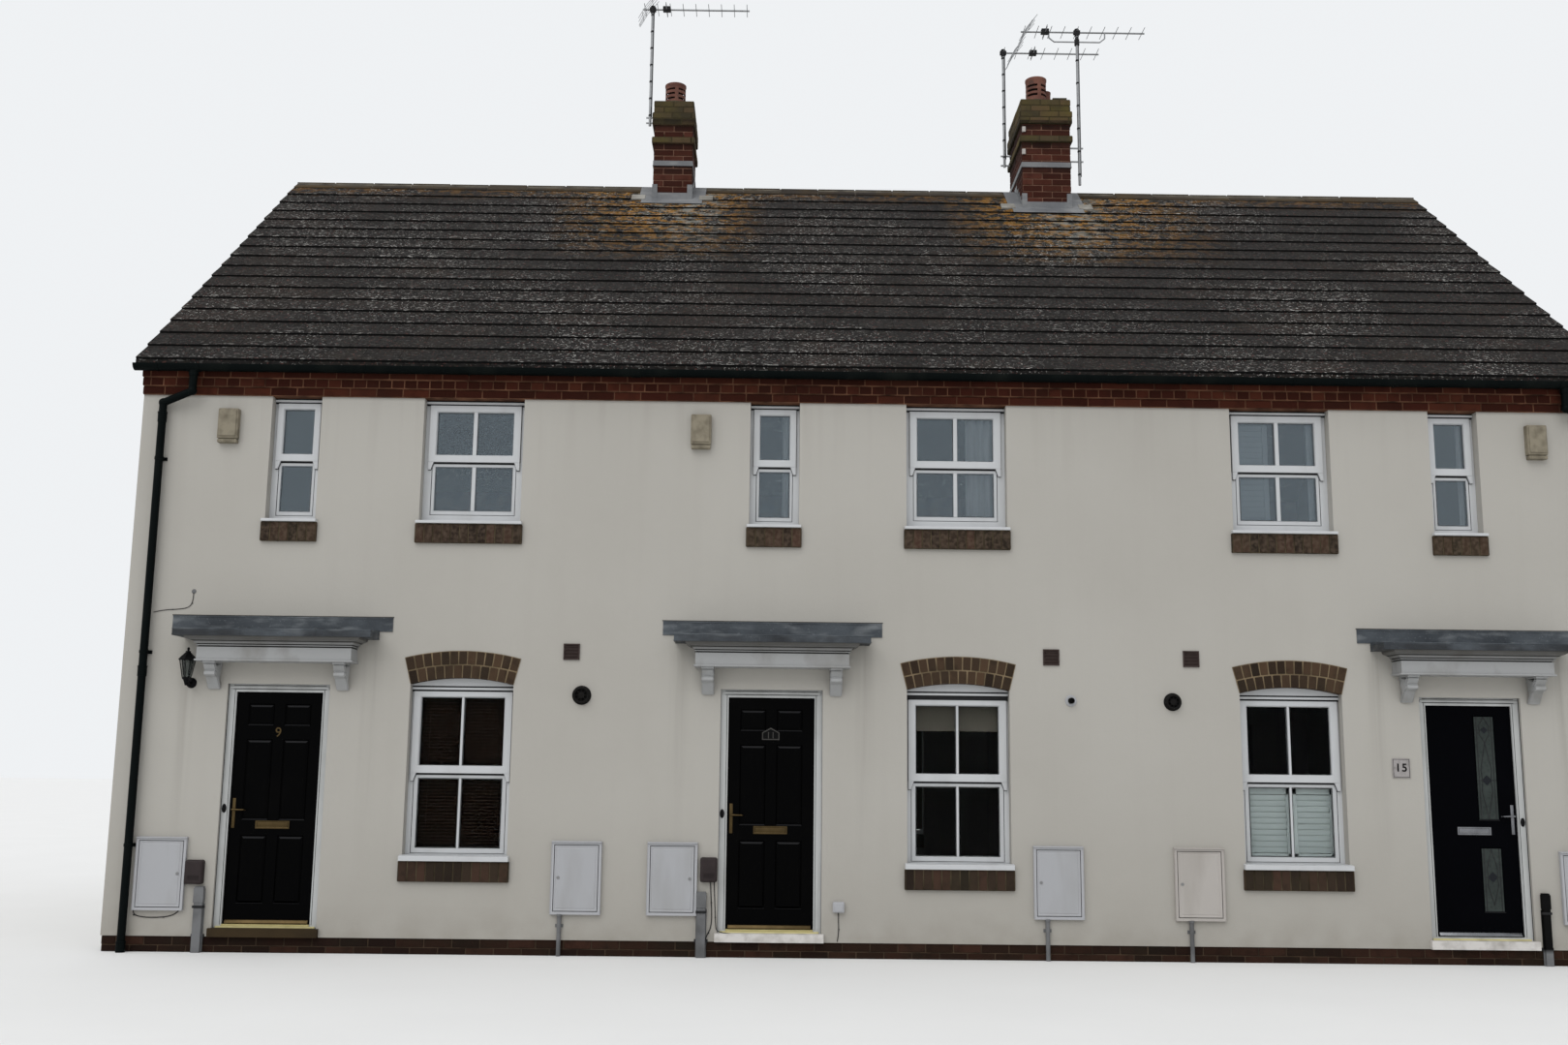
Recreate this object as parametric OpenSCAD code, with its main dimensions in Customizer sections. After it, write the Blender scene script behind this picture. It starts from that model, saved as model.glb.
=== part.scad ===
// Row of three terraced houses: rendered brick walls on a brick plinth, a tiled roof
// with two chimney stacks, sash windows, panelled doors under bracketed canopies.
// Millimetres. X runs along the street front, Y into the houses, Z up from the ground.

/* [Row] */
// Left house, gable face to party line
left_house_w = 4400; // [4250:10:5000]
// Middle house, party line to party line
middle_house_w = 4260; // [4230:10:4900]
// Right house, party line to gable face
right_house_w = 4460; // [4250:10:5000]
// Front face to back face
house_d = 7680; // [6800:20:9000]
// Thickness of the front, back and gable walls
wall_t = 250; // [220:5:330]
// Thickness of the party walls
party_t = 230; // [200:5:300]

/* [Levels] */
// Height of the brick plinth above the ground
plinth_h = 130; // [100:5:160]
// How far the plinth brick stands back from the render
plinth_inset = 12; // [5:1:20]
// Top of the ground floor
floor_z = 180; // [165:5:190]
// Thickness of the first floor
first_floor_t = 200; // [150:10:300]
// Top of the first floor
first_floor_z = 2850; // [2800:10:3200]
// Height of the rendered wall under the brick eaves
render_top = 4800; // [4760:10:5200]

/* [Roof] */
// Pitch of both slopes in degrees
pitch = 39; // [36:0.5:42]
// Height of the tiles above the wall face
tile_z = 5200; // [5190:10:5500]
// Thickness of tiles, battens and rafters together, square to the slope
roof_t = 70; // [60:2:74]
// Thickness of the tiles alone at the eaves
tile_t = 24; // [18:1:28]
// Reach of the tiles beyond the wall face
eaves_reach = 140; // [125:5:160]
// Reach of the tiles beyond each gable
verge_reach = 40; // [20:5:60]
// Width of each leg of the ridge tiles along the slope
ridge_leg = 150; // [100:5:180]
// Thickness of the ridge tiles
ridge_t = 30; // [18:2:40]

/* [Eaves] */
// Height of one brick course with its joint
course = 75; // [72:1:77]
// How far each eaves course stands out past the one below
corbel_step = 20; // [10:1:22]
// Outside radius of the half-round gutter
gutter_r = 57; // [50:1:62]
// Thickness of the gutter and of the downpipe wall
gutter_t = 4; // [3:0.5:6]
// Outside diameter of the downpipes
pipe_d = 68; // [60:1:76]
// Distance from the gable to each downpipe
pipe_off = 200; // [150:5:210]
// Sideways reach of the bend at the top of each downpipe
neck_run = 270; // [200:5:340]

/* [Windows] */
// Window centre from the party line in each house, left to right, as a share of its width
window_share = [0.3318, 0.3345, 0.3283]; // [0.32:0.0001:0.36]
// Width of the wide window openings
window_w = 890; // [840:10:940]
// Width of the narrow window openings
narrow_w = 440; // [400:10:480]
// Top of the sill of the ground-floor window in each house, left to right
sill_z = [820, 795, 820]; // [760:5:860]
// Springing of the brick arches
spring_z = 2266; // [2264:1:2300]
// Rise of the arches over the opening
arch_rise = 56; // [45:1:75]
// Depth of the two rings of arch brick
arch_ring = 232; // [200:2:240]
// Top of the sill of an upper window
upper_sill_z = 3700; // [3640:10:3760]
// Thickness of the white sill of a ground-floor window
sill_t = 50; // [40:2:60]
// Thickness of the white sill of an upper window
upper_sill_t = 32; // [25:1:45]
// Height of the brick under each white sill
brick_sill_h = 172; // [150:2:190]
// Reach of the white sills from the wall
sill_reach = 55; // [45:1:70]
// Reach of the brick sills from the wall
brick_sill_reach = 30; // [20:1:40]
// How far a sill runs past the opening at each side
sill_ear = 20; // [12:1:28]
// Depth of the window frames behind the wall face
window_set = 80; // [60:5:110]
// Front to back size of the window frames
frame_t = 70; // [50:5:90]
// Visible width of frame and sash beside the glass of a ground-floor window
sash_side = 85; // [75:1:95]
// Visible width of frame and sash beside the glass of an upper window
upper_sash_side = 105; // [95:1:112]
// Visible width of frame and sash beside the glass of a narrow window
narrow_sash_side = 88; // [78:1:98]
// Width of the bar between the panes of a ground-floor window
sash_bar = 24; // [18:2:34]
// Width of the bar between the panes of an upper window
upper_sash_bar = 38; // [28:2:44]
// Height of the frame under the lower glass of a ground-floor window
sash_foot = 56; // [44:2:70]
// Height of the frame under the lower glass of an upper window
upper_sash_foot = 107; // [95:1:116]
// Height of the frame under the lower glass of a narrow window
narrow_sash_foot = 82; // [70:1:90]
// Height of the meeting rails between the glass
sash_meet = 112; // [100:1:120]
// Height of a ground-floor pane
pane_h = 584; // [540:2:600]
// Height of an upper-floor pane
upper_pane_h = 388; // [360:2:396]
// Height of a pane of a narrow window
narrow_pane_h = 404; // [380:2:412]
// Thickness of the sealed panes
glass_t = 24; // [16:2:28]

/* [Doors] */
// Door centre from the party line in each house, left to right, as a share of its width
door_share = [0.69, 0.7136, 0.6771]; // [0.67:0.0001:0.72]
// Outside width of a door frame
door_frame_w = 881; // [860:1:920]
// Top of a door frame
door_head = 2250; // [2220:5:2262]
// Visible face of the door frame, without its lip
door_jamb = 54; // [45:1:60]
// Width of the lip that the door closes against
door_lip = 14; // [10:1:18]
// Gap round a closed door
door_gap = 7; // [6:0.5:9]
// Thickness of the doors
door_t = 44; // [38:1:50]
// Depth of the door frames behind the wall face
door_set = 40; // [30:2:60]
// Front to back size of the door frames
door_frame_t = 90; // [80:2:110]
// Top of the outside sill of a door
door_sill_z = 200; // [195:1:206]
// Height of the metal threshold on the sill
threshold_h = 26; // [18:1:30]
// Reach of the door sills from the wall
door_sill_reach = 45; // [35:1:60]

/* [Canopies] */
// Reach of the canopy roofs from the wall
canopy_reach = 300; // [260:5:340]
// Half the width of a canopy at the wall, before its mouldings step out
canopy_half = 460; // [440:5:480]
// Underside of the canopy board
canopy_z = 2430; // [2420:5:2450]
// Height of the flat board with its beads
canopy_board_h = 126; // [115:1:135]
// Height of the sloped moulding
canopy_crown_h = 84; // [70:1:95]
// Reach of the flat board from the wall
canopy_board_reach = 200; // [190:2:220]
// Height of the lead edge
lead_edge_h = 60; // [45:5:70]
// Half the width of the lead flashing on the wall
flashing_half = 955; // [900:5:980]
// Height of the lead flashing on the wall
flashing_h = 135; // [90:5:150]
// Thickness of lead sheet with its folds
lead_t = 6; // [3:0.5:8]
// Half the distance between the outer faces of the brackets
bracket_half = 605; // [585:1:630]
// Width of a bracket
bracket_w = 105; // [90:1:120]
// Height of a bracket
bracket_h = 230; // [210:5:250]

/* [Chimneys] */
// Left stack across the front
left_stack_w = 440; // [400:5:560]
// Left stack front to back
left_stack_d = 665; // [560:5:780]
// Right stack across the front
right_stack_w = 553; // [500:5:640]
// Right stack front to back
right_stack_d = 890; // [780:5:1000]
// Top of the left stack
left_stack_z = 9265; // [9240:5:9320]
// Top of the right stack
right_stack_z = 9300; // [9260:5:9360]
// Reach of the projecting band of brick
stack_band = 25; // [15:1:35]
// Outside diameter of the chimney pots
pot_d = 250; // [220:5:280]
// Height of the left chimney pot
left_pot_h = 270; // [220:10:320]
// Height of the right chimney pot
right_pot_h = 320; // [270:10:370]
// Width of the lead on the tiles round a stack
lead_skirt = 155; // [120:5:180]

/* [Cupboards] */
// Gas meter cupboard from the party line in each house, as a share of its width
gas_share = [0.0955, 0.1373, 0.1379]; // [0.08:0.0001:0.15]
// Electricity cupboard from the party line in each house, as a share of its width
electric_share = [0.8939, 0.9077, 0.8778]; // [0.87:0.0001:0.92]
// Width of a meter cupboard
cupboard_w = 420; // [400:5:440]
// Height of a meter cupboard
cupboard_h = 595; // [560:5:620]
// Underside of the meter cupboards
cupboard_z = 345; // [300:5:380]
// Depth of a meter cupboard in the wall
cupboard_d = 150; // [120:5:170]
// How far a meter cupboard stands out of the wall
cupboard_proud = 30; // [22:1:40]
// Thickness of the cupboard walls
cupboard_t = 12; // [8:1:15]
// Width of the rim round a cupboard door
cupboard_rim = 20; // [16:1:26]
// Thickness of a cupboard door
cupboard_door_t = 16; // [12:1:18]
// Gap round a cupboard door
cupboard_gap = 6; // [5.5:0.5:8]

/* [Hidden] */

eps = 1;
row_w = left_house_w + middle_house_w + right_house_w;
party_x = [left_house_w, left_house_w + middle_house_w];
// Each house is set out from one party line: to its left, its left and its right
house_w = [left_house_w, middle_house_w, right_house_w];
anchor_x = [party_x[0], party_x[1], party_x[1]];
hand = [-1, -1, 1];
houses = [0, 1, 2];
function at(house, share) = round(anchor_x[house] + hand[house] * share * house_w[house]);
door_x = [for (h = houses) at(h, door_share[h])];
window_x = [for (h = houses) at(h, window_share[h])];

door_half = door_frame_w / 2;
window_half = window_w / 2;
narrow_half = narrow_w / 2;
pier_top = door_head;
band_top = upper_sill_z - upper_sill_t - brick_sill_h;
sill_bottom = [for (z = sill_z) z - sill_t];
apron_top = [for (z = sill_bottom) z - brick_sill_h];
upper_sill_bottom = upper_sill_z - upper_sill_t;

// Segmental arches
arch_r = (window_half * window_half + arch_rise * arch_rise) / (2 * arch_rise);
arch_zc = spring_z + arch_rise - arch_r;
arch_angle = asin(window_half / arch_r);
// The ends of an arch stand a hair clear of the wall beside them
arch_ease = 0.002;

// Roof surface and underside as heights over the distance y from the wall face
slope = tan(pitch);
roof_drop = roof_t / cos(pitch);
tile_drop = tile_t / cos(pitch);
corbel_reach = 3 * corbel_step;
ridge_y = house_d / 2;
// Ridge tiles and lead lie on the tiles with this much bedding under them
bed_lift = 0.3;
function tile_at(y) = tile_z + y * slope;
function under_at(y) = tile_at(y) - roof_drop;

// Stack values as [centre x, width, depth, top]
stack_right_shift = 60;
stacks = [
  [party_x[0], left_stack_w, left_stack_d, left_stack_z],
  [party_x[1] + stack_right_shift, right_stack_w, right_stack_d, right_stack_z]
];

gutter_y = -(corbel_reach + gutter_r);
gutter_clear = 7;
gutter_z = tile_at(-eaves_reach) - tile_drop - gutter_clear;
gutter_over = 50;
pipe_y = -(pipe_d / 2 + 24);
pipe_r = pipe_d / 2;
pipe_joint_d = pipe_d + 12;
outlet_drop = 134;
neck_top = gutter_z - gutter_r - pipe_joint_d / 2 - 6 - outlet_drop;
neck_drop = 96;
neck_foot = neck_top - neck_drop - pipe_joint_d;
clip_shares = [0.18, 0.52, 0.875];

// Door leaf, set out from the frame
door_clear_w = door_frame_w - 2 * door_jamb;
leaf_w = door_clear_w - 2 * door_gap;
leaf_bottom = door_sill_z + threshold_h + door_gap;
leaf_top = door_head - door_jamb - door_gap;
leaf_h = leaf_top - leaf_bottom;
lip_t = 18;
leaf_y = door_set + lip_t + door_gap - 1;
lip_w = door_clear_w - 2 * door_lip;

// Cupboard door, set out from the rim
cup_leaf_w = cupboard_w - 2 * (cupboard_rim + cupboard_gap);
cup_leaf_h = cupboard_h - 2 * (cupboard_rim + cupboard_gap);
cup_leaf_z = cupboard_z + cupboard_rim + cupboard_gap;
gas_x = [for (h = houses) at(h, gas_share[h])];
electric_x = [for (h = houses) at(h, electric_share[h])];
cupboard_x = concat(gas_x, electric_x);

// Canopy levels, and its mouldings as reach from the wall against height:
// bead, board and flared crown
canopy_crown_z = canopy_z + canopy_board_h;
canopy_lead_z = canopy_crown_z + canopy_crown_h;
canopy_top = canopy_lead_z + lead_edge_h;
canopy_fall = 25;
canopy_ear = 80;
bead_h = 17;
bead_out = 12;
crown_steps = 6;
crown_flare = canopy_reach - 15 - canopy_board_reach;
canopy_outline = concat(
  [[canopy_board_reach + bead_out, canopy_z], [canopy_board_reach + bead_out, canopy_z + bead_h],
   [canopy_board_reach, canopy_z + bead_h], [canopy_board_reach, canopy_crown_z]],
  [for (i = [1 : crown_steps]) [
    canopy_board_reach + crown_flare * (1 - cos(i * 90 / crown_steps)),
    canopy_crown_z + canopy_crown_h * sin(i * 90 / crown_steps)]]
);

// Fittings of a front door: letter plate, lever handle on its backplate, weather bar
letter_plate = [290, 12, 66];
letter_z = [1022, 1022, 1079];
handle_in = 42;
handle_z = [1150, 1150, 1210];
backplate = [30, 10, 250];
lever_out = 45;
lever_l = 110;
lever_d = 18;
weather_bar = [20, 24, 35];

// Boxes on the front wall as centre x, foot and size; alarms hang under the eaves
alarm_share = [0.8227, 0.8676, 0.8401];
alarm_size = [180, 70, 310];
alarm_z = render_top - alarm_size[2] - 125;
beside_cupboard = cupboard_w / 2;
junction_z = cupboard_z + 215;
front_boxes = [
  [at(0, alarm_share[0]), alarm_z, alarm_size],
  [at(1, alarm_share[1]), alarm_z, alarm_size],
  [at(2, alarm_share[2]), alarm_z, alarm_size],
  [electric_x[0] + beside_cupboard + 82, junction_z, [155, 60, 200]],
  [electric_x[1] + beside_cupboard + 100, junction_z + 60, [145, 60, 205]],
  [door_x[1] + door_half + 146, cupboard_z + 35, [98, 45, 88]],
  [door_x[2] - door_half - 188, handle_z[2] + 346, [152, 12, 165]]
];

// Square vents and round flue ends over the gas cupboards as offset in x, width
vent_t = 12;
flue_out = 45;
vent_z = spring_z + 291;
flue_z = spring_z - 83;
front_vents = [[-102, 140], [-29, 140], [-9, 140]];
front_flues = [[-3, 165], [136, 100], [-181, 155]];

// Cable guards as centre x and [width, reach, height], and gas risers as offset in x
guard_size = [72, 45, junction_z - 20];
cable_guards = [
  [electric_x[0] + beside_cupboard + 138, guard_size],
  [electric_x[1] + beside_cupboard + 43, guard_size],
  [electric_x[2] - beside_cupboard - 150, [60, 35, guard_size[2] + 60]]
];
riser_off = [-130, -100, -80];
riser_d = 36;
riser_gap = 2;

// Aerials as [mast x, mast y, foot, top, boom left, boom right, elements, brackets],
// each bracket as [height, face of the stack that it is fixed to]
mast_d = 32;
boom_d = 20;
element_d = 8;
element_half = 150;
boom_inset = 30;
boom_drop = 40;
bracket_grip = 45;
bracket_t = 16;
left_head_x = stacks[0][0] - stacks[0][1] / 2 - stack_band;
right_stack_x = [
  stacks[1][0] - stacks[1][1] / 2, stacks[1][0] + stacks[1][1] / 2
];
left_top = stacks[0][3];
right_top = stacks[1][3];
aerial_list = [
  [left_head_x - 45, ridge_y - 200, left_top - 250, left_top + 1255, -120, 1150, 9,
   [[left_top - 215, left_head_x], [left_top - 150, left_head_x]]],
  [right_stack_x[0] - 85, ridge_y + 330, right_top - 515, right_top + 1000, -30, 1170, 8,
   [[right_top - 495, right_stack_x[0] - stack_band], [right_top - 375, right_stack_x[0]]]],
  [right_stack_x[1] + 130, ridge_y - 330, right_top - 995, right_top + 940, -660, 800, 10,
   [[right_top - 710, right_stack_x[1]], [right_top - 545, right_stack_x[1]]]]
];

render_colour = "#d8d0bd";
brick_colour = "#7c3f30";
tile_colour = "#55504a";
white_colour = "#eeeeea";
black_colour = "#1c1d20";
lead_colour = "#5d646c";

// The row stands centred on the origin
module in_row() translate([-row_w / 2, -house_d / 2, 0]) children();

module on_back() translate([0, house_d, 0]) mirror([0, 1, 0]) children();

module front_and_back() {
  children();
  on_back() children();
}

module block(x, y, z) {
  translate([x[0], y[0], z[0]]) cube([x[1] - x[0], y[1] - y[0], z[1] - z[0]]);
}

// Stands a drawing in x and z up, between two distances from the wall face
module upright(y) translate([0, y[1], 0]) rotate([90, 0, 0]) linear_extrude(y[1] - y[0]) children();

// Runs a drawing in y and z along x
module along(x) translate([x[0], 0, 0]) rotate([90, 0, 90]) linear_extrude(x[1] - x[0]) children();

// Round bar from one point to another
module bar(from, to, d, sides = 24) {
  run = to - from;
  flat = norm([run[0], run[1]]);
  translate(from) rotate([0, atan2(flat, run[2]), atan2(run[1], run[0])])
    cylinder(d = d, h = norm(run), $fn = sides);
}

module rect_xz(x, z) translate([x[0], z[0]]) square([x[1] - x[0], z[1] - z[0]]);

// Sector of the arch over a window, out to a radius
module arch_wedge(x, r) {
  far = r * 1.1;
  intersection() {
    translate([x, arch_zc]) circle(r, $fn = 180);
    polygon([
      [x, arch_zc],
      [x - far * tan(arch_angle - arch_ease), arch_zc + far],
      [x + far * tan(arch_angle - arch_ease), arch_zc + far]
    ]);
  }
}

// Gap that a window and its arch need in the wall above a level
module arch_gap(x, z0) {
  lift = 2 * arch_ring;
  side = [window_half + lift * sin(arch_angle), spring_z + lift * cos(arch_angle)];
  intersection() {
    translate([x, arch_zc]) circle(arch_r + arch_ring, $fn = 180);
    polygon([
      [x - window_half, z0], [x - window_half, spring_z], [x - side[0], side[1]],
      [x + side[0], side[1]], [x + window_half, spring_z], [x + window_half, z0]
    ]);
  }
}

// Outline of a ground-floor window opening, from a level up to its arch
module arched_opening(x, z0) {
  intersection() {
    rect_xz([x - window_half, x + window_half], [z0, spring_z + arch_rise]);
    translate([x, arch_zc]) circle(arch_r, $fn = 180);
  }
}

// Ground-floor openings as [from, to], left to right
function opening_at(x, half) = [x - half, x + half];
ground_gaps = [
  opening_at(door_x[0], door_half), opening_at(window_x[0], window_half),
  opening_at(door_x[1], door_half), opening_at(window_x[1], window_half),
  opening_at(window_x[2], window_half), opening_at(door_x[2], door_half)
];
upper_gaps = [
  opening_at(door_x[0], narrow_half), opening_at(window_x[0], window_half),
  opening_at(door_x[1], narrow_half), opening_at(window_x[1], window_half),
  opening_at(window_x[2], window_half), opening_at(door_x[2], narrow_half)
];

// Wall left standing between a list of gaps, from one pier to another
module piers(gaps, z, from, to) {
  starts = concat([0], [for (g = gaps) g[1]]);
  ends = concat([for (g = gaps) g[0]], [row_w]);
  for (i = [from : to]) block([starts[i], ends[i]], [0, wall_t], z);
}

module ground_piers(from = 0, to = len(ground_gaps)) {
  piers(ground_gaps, [plinth_h, pier_top], from, to);
}

module upper_piers() piers(upper_gaps, [band_top, render_top], 0, len(upper_gaps));

module cupboard_holes() {
  for (x = cupboard_x)
    block(opening_at(x, cupboard_w / 2), [-wall_t, cupboard_d],
          [cupboard_z, cupboard_z + cupboard_h]);
}

module wall_aprons() {
  for (h = houses)
    block(opening_at(window_x[h], window_half), [0, wall_t], [plinth_h, apron_top[h]]);
}

module wall_band() {
  difference() {
    block([0, row_w], [0, wall_t], [pier_top, band_top]);
    upright([-eps, wall_t + eps]) for (x = window_x) arch_gap(x, pier_top - eps);
  }
}

// Three corbelled courses and the brick behind the gutter, in y and z
module eaves_profile() {
  step = corbel_step;
  polygon([
    [0, render_top], [-step, render_top], [-step, render_top + course],
    [-2 * step, render_top + course], [-2 * step, render_top + 2 * course],
    [-3 * step, render_top + 2 * course], [-3 * step, under_at(-3 * step)],
    [wall_t, under_at(wall_t)], [wall_t, render_top]
  ]);
}

// Outline of a gable or party wall under the roof, in y and z
module gable_profile(foot) {
  far = house_d - wall_t;
  polygon([
    [wall_t, foot], [far, foot], [far, under_at(wall_t)],
    [ridge_y, under_at(ridge_y)], [wall_t, under_at(wall_t)]
  ]);
}

module roof_slope_profile() {
  inner = -corbel_reach;
  polygon([
    [-eaves_reach, tile_at(-eaves_reach)], [ridge_y, tile_at(ridge_y)],
    [ridge_y, under_at(ridge_y)], [inner, under_at(inner)],
    [inner, tile_at(inner) - tile_drop], [-eaves_reach, tile_at(-eaves_reach) - tile_drop]
  ]);
}

module stack_shafts(grow = 0) {
  for (s = stacks) {
    half_w = s[1] / 2 + grow;
    half_d = s[2] / 2 + grow;
    block([s[0] - half_w, s[0] + half_w], [ridge_y - half_d, ridge_y + half_d],
          [under_at(0), left_stack_z]);
  }
}

module roof_slope() {
  difference() {
    along([-verge_reach, row_w + verge_reach]) roof_slope_profile();
    stack_shafts();
  }
}

module plinth() color(brick_colour) in_row() {
  inset = plinth_inset;
  difference() {
    block([inset, row_w - inset], [inset, house_d - inset], [0, plinth_h]);
    block([wall_t, row_w - wall_t], [wall_t, house_d - wall_t], [-eps, plinth_h + eps]);
  }
}

module ground_floor() color("#8d8a84") in_row() {
  block([wall_t, row_w - wall_t], [wall_t, house_d - wall_t], [0, floor_z]);
}

module first_floor() color("#a98c64") in_row() {
  half = party_t / 2;
  starts = [wall_t, party_x[0] + half, party_x[1] + half];
  ends = [party_x[0] - half, party_x[1] - half, row_w - wall_t];
  for (h = houses)
    block([starts[h], ends[h]], [wall_t, house_d - wall_t],
          [first_floor_z - first_floor_t, first_floor_z]);
}

module front_left_pier() color(render_colour) in_row() {
  difference() {
    ground_piers(0, 0);
    cupboard_holes();
  }
}

module front_ground_piers() color(render_colour) in_row() {
  difference() {
    ground_piers(1);
    cupboard_holes();
  }
}

module front_upper_piers() color(render_colour) in_row() upper_piers();

module front_wall_aprons() color(render_colour) in_row() wall_aprons();

module front_wall_band() color(render_colour) in_row() wall_band();

module eaves_front() color(brick_colour) in_row() along([0, row_w]) eaves_profile();

module back_wall_piers() color(render_colour) in_row() on_back() {
  ground_piers();
  upper_piers();
}

module back_wall_aprons() color(render_colour) in_row() on_back() wall_aprons();

module back_wall_band() color(render_colour) in_row() on_back() wall_band();

module eaves_back() color(brick_colour) in_row() on_back() along([0, row_w]) eaves_profile();

module left_gable_wall() color(render_colour) in_row() {
  along([0, wall_t]) gable_profile(plinth_h);
}

module right_gable_wall() color(render_colour) in_row() {
  along([row_w - wall_t, row_w]) gable_profile(plinth_h);
}

module party_walls() color("#b7aa97") in_row() {
  for (x = party_x) along([x - party_t / 2, x + party_t / 2]) gable_profile(floor_z);
}

module roof_front() color(tile_colour) in_row() roof_slope();

module roof_back() color(tile_colour) in_row() on_back() roof_slope();

// Ridge tiles stop at the lead round each stack
module ridge_tiles() color("#5f5850") in_row() {
  leg = ridge_leg * cos(pitch);
  rise = ridge_t / cos(pitch);
  starts = concat([-verge_reach], [for (s = stacks) s[0] + s[1] / 2 + lead_skirt]);
  ends = concat([for (s = stacks) s[0] - s[1] / 2 - lead_skirt], [row_w + verge_reach]);
  near = ridge_y - leg;
  far = ridge_y + leg;
  foot = tile_at(near) + bed_lift;
  for (i = [0 : len(starts) - 1]) along([starts[i], ends[i]]) polygon([
    [near, foot], [near, foot + rise * 0.6],
    [ridge_y, tile_at(ridge_y) + rise],
    [far, foot + rise * 0.6], [far, foot], [ridge_y, tile_at(ridge_y) + bed_lift]
  ]);
}

// One stack: shaft, projecting band and stepped head
module stack(s) {
  band_z = s[3] - 7 * course;
  head_z = s[3] - 4 * course;
  difference() {
    union() {
      stack_course(s, [under_at(ridge_y - s[2]), s[3]], 0);
      stack_course(s, [band_z, band_z + course], stack_band);
      stack_course(s, [head_z, head_z + 2 * course], stack_band);
      stack_course(s, [head_z + 2 * course, s[3]], stack_band / 3);
    }
    along([s[0] - s[1], s[0] + s[1]]) gable_profile(0);
  }
}

module stack_course(s, z, grow) {
  block([s[0] - s[1] / 2 - grow, s[0] + s[1] / 2 + grow],
        [ridge_y - s[2] / 2 - grow, ridge_y + s[2] / 2 + grow], z);
}

module chimney_stacks() color(brick_colour) in_row() for (s = stacks) stack(s);

// Pot with an open throat over a closed foot
module pot(x, y, z, d, h) {
  wall = d / 10;
  translate([x, y, z]) difference() {
    cylinder(d = d, h = h, $fn = 48);
    translate([0, 0, 2 * wall]) cylinder(d = d - 2 * wall, h = h, $fn = 48);
  }
}

// A wide louvred pot at the front of each stack, a small cowl and a capped flue behind
module chimney_pots() color("#8f4a35") in_row() {
  pot_in = pot_d / 2 + 60;
  left = stacks[0];
  right = stacks[1];
  front_y = ridge_y - right[2] / 2;
  pot(left[0], ridge_y - left[2] / 2 + pot_in, left[3], pot_d, left_pot_h);
  pot(right[0] - 75, front_y + pot_in, right[3], pot_d, right_pot_h);
  pot(right[0] + 75, ridge_y - 40, right[3], 130, 270);
  block([right[0] + 90, right[0] + 260], [front_y + 40, front_y + 270],
        [right[3], right[3] + 45]);
}

module chimney_lead() color(lead_colour) in_row() {
  lift = bed_lift;
  rise = lead_t / cos(pitch) + lift;
  tray_z = stacks[0][3] - 10 * course - 45;
  tray_h = 60;
  tray_out = 10;
  for (s = stacks) {
    half_w = s[1] / 2 + lead_skirt;
    front = ridge_y - s[2] / 2 - lead_skirt * cos(pitch);
    difference() {
      along([s[0] - half_w, s[0] + half_w]) polygon([
        [front, tile_at(front) + lift], [front, tile_at(front) + rise],
        [ridge_y, tile_at(ridge_y) + rise],
        [2 * ridge_y - front, tile_at(front) + rise], [2 * ridge_y - front, tile_at(front) + lift],
        [ridge_y, tile_at(ridge_y) + lift]
      ]);
      stack_shafts();
    }
    difference() {
      stack_course(s, [tray_z, tray_z + tray_h], tray_out);
      stack_course(s, [tray_z - eps, tray_z + tray_h + eps], 0);
    }
  }
}

// Mast on brackets with a boom of cross elements near its top
module aerial(a) {
  x = a[0];
  y = a[1];
  boom_z = a[3] - boom_drop;
  first = x + a[4] + boom_inset;
  gap = (a[5] - a[4] - 2 * boom_inset) / (a[6] - 1);
  bar([x, y, a[2]], [x, y, a[3]], mast_d);
  bar([x + a[4], y, boom_z], [x + a[5], y, boom_z], boom_d);
  for (i = [0 : a[6] - 1])
    bar([first + i * gap, y - element_half, boom_z],
        [first + i * gap, y + element_half, boom_z], element_d);
  for (b = a[7])
    block([min(b[1], x - bracket_grip), max(b[1], x + bracket_grip)],
          [y - bracket_t / 2, y + bracket_t / 2], [b[0] - bracket_t / 2, b[0] + bracket_t / 2]);
}

module aerials() color("#9b9fa3") in_row() for (a = aerial_list) aerial(a);

module gutter_run() {
  along([-gutter_over, row_w + gutter_over]) difference() {
    translate([gutter_y, gutter_z]) circle(gutter_r, $fn = 64);
    translate([gutter_y, gutter_z]) circle(gutter_r - gutter_t, $fn = 64);
    translate([gutter_y - gutter_r, gutter_z]) square([2 * gutter_r, 2 * gutter_r]);
  }
  for (x = [-gutter_over - gutter_t, row_w + gutter_over]) along([x, x + gutter_t]) intersection() {
    translate([gutter_y, gutter_z]) circle(gutter_r, $fn = 64);
    translate([gutter_y - gutter_r, gutter_z - gutter_r]) square([2 * gutter_r, gutter_r]);
  }
}

module gutters() color(black_colour) in_row() front_and_back() gutter_run();

// Straight downpipe with its clips; side is 1 at the left end and -1 at the right
function pipe_x(side) = side > 0 ? pipe_off : row_w - pipe_off;

module downpipe(side) {
  x = pipe_x(side);
  clip_h = 30;
  bar([x, pipe_y, 0], [x, pipe_y, neck_foot], pipe_d);
  for (share = clip_shares)
    block([x - clip_h, x + clip_h], [pipe_y, 0],
          [share * render_top, share * render_top + clip_h]);
}

// Swan neck from the gutter back to the wall
module downpipe_neck(side) {
  x = pipe_x(side);
  outlet = [x + side * neck_run, gutter_y, neck_top];
  elbow = [x, pipe_y, neck_top - neck_drop];
  bar(outlet, [outlet[0], outlet[1], gutter_z - gutter_r], pipe_d);
  bar(elbow, outlet, pipe_d);
  bar([x, pipe_y, neck_foot], elbow, pipe_d);
  for (p = [outlet, elbow]) translate(p) sphere(d = pipe_joint_d, $fn = 32);
}

module downpipes() color(black_colour) in_row() front_and_back() {
  downpipe(1);
  downpipe(-1);
}

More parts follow.
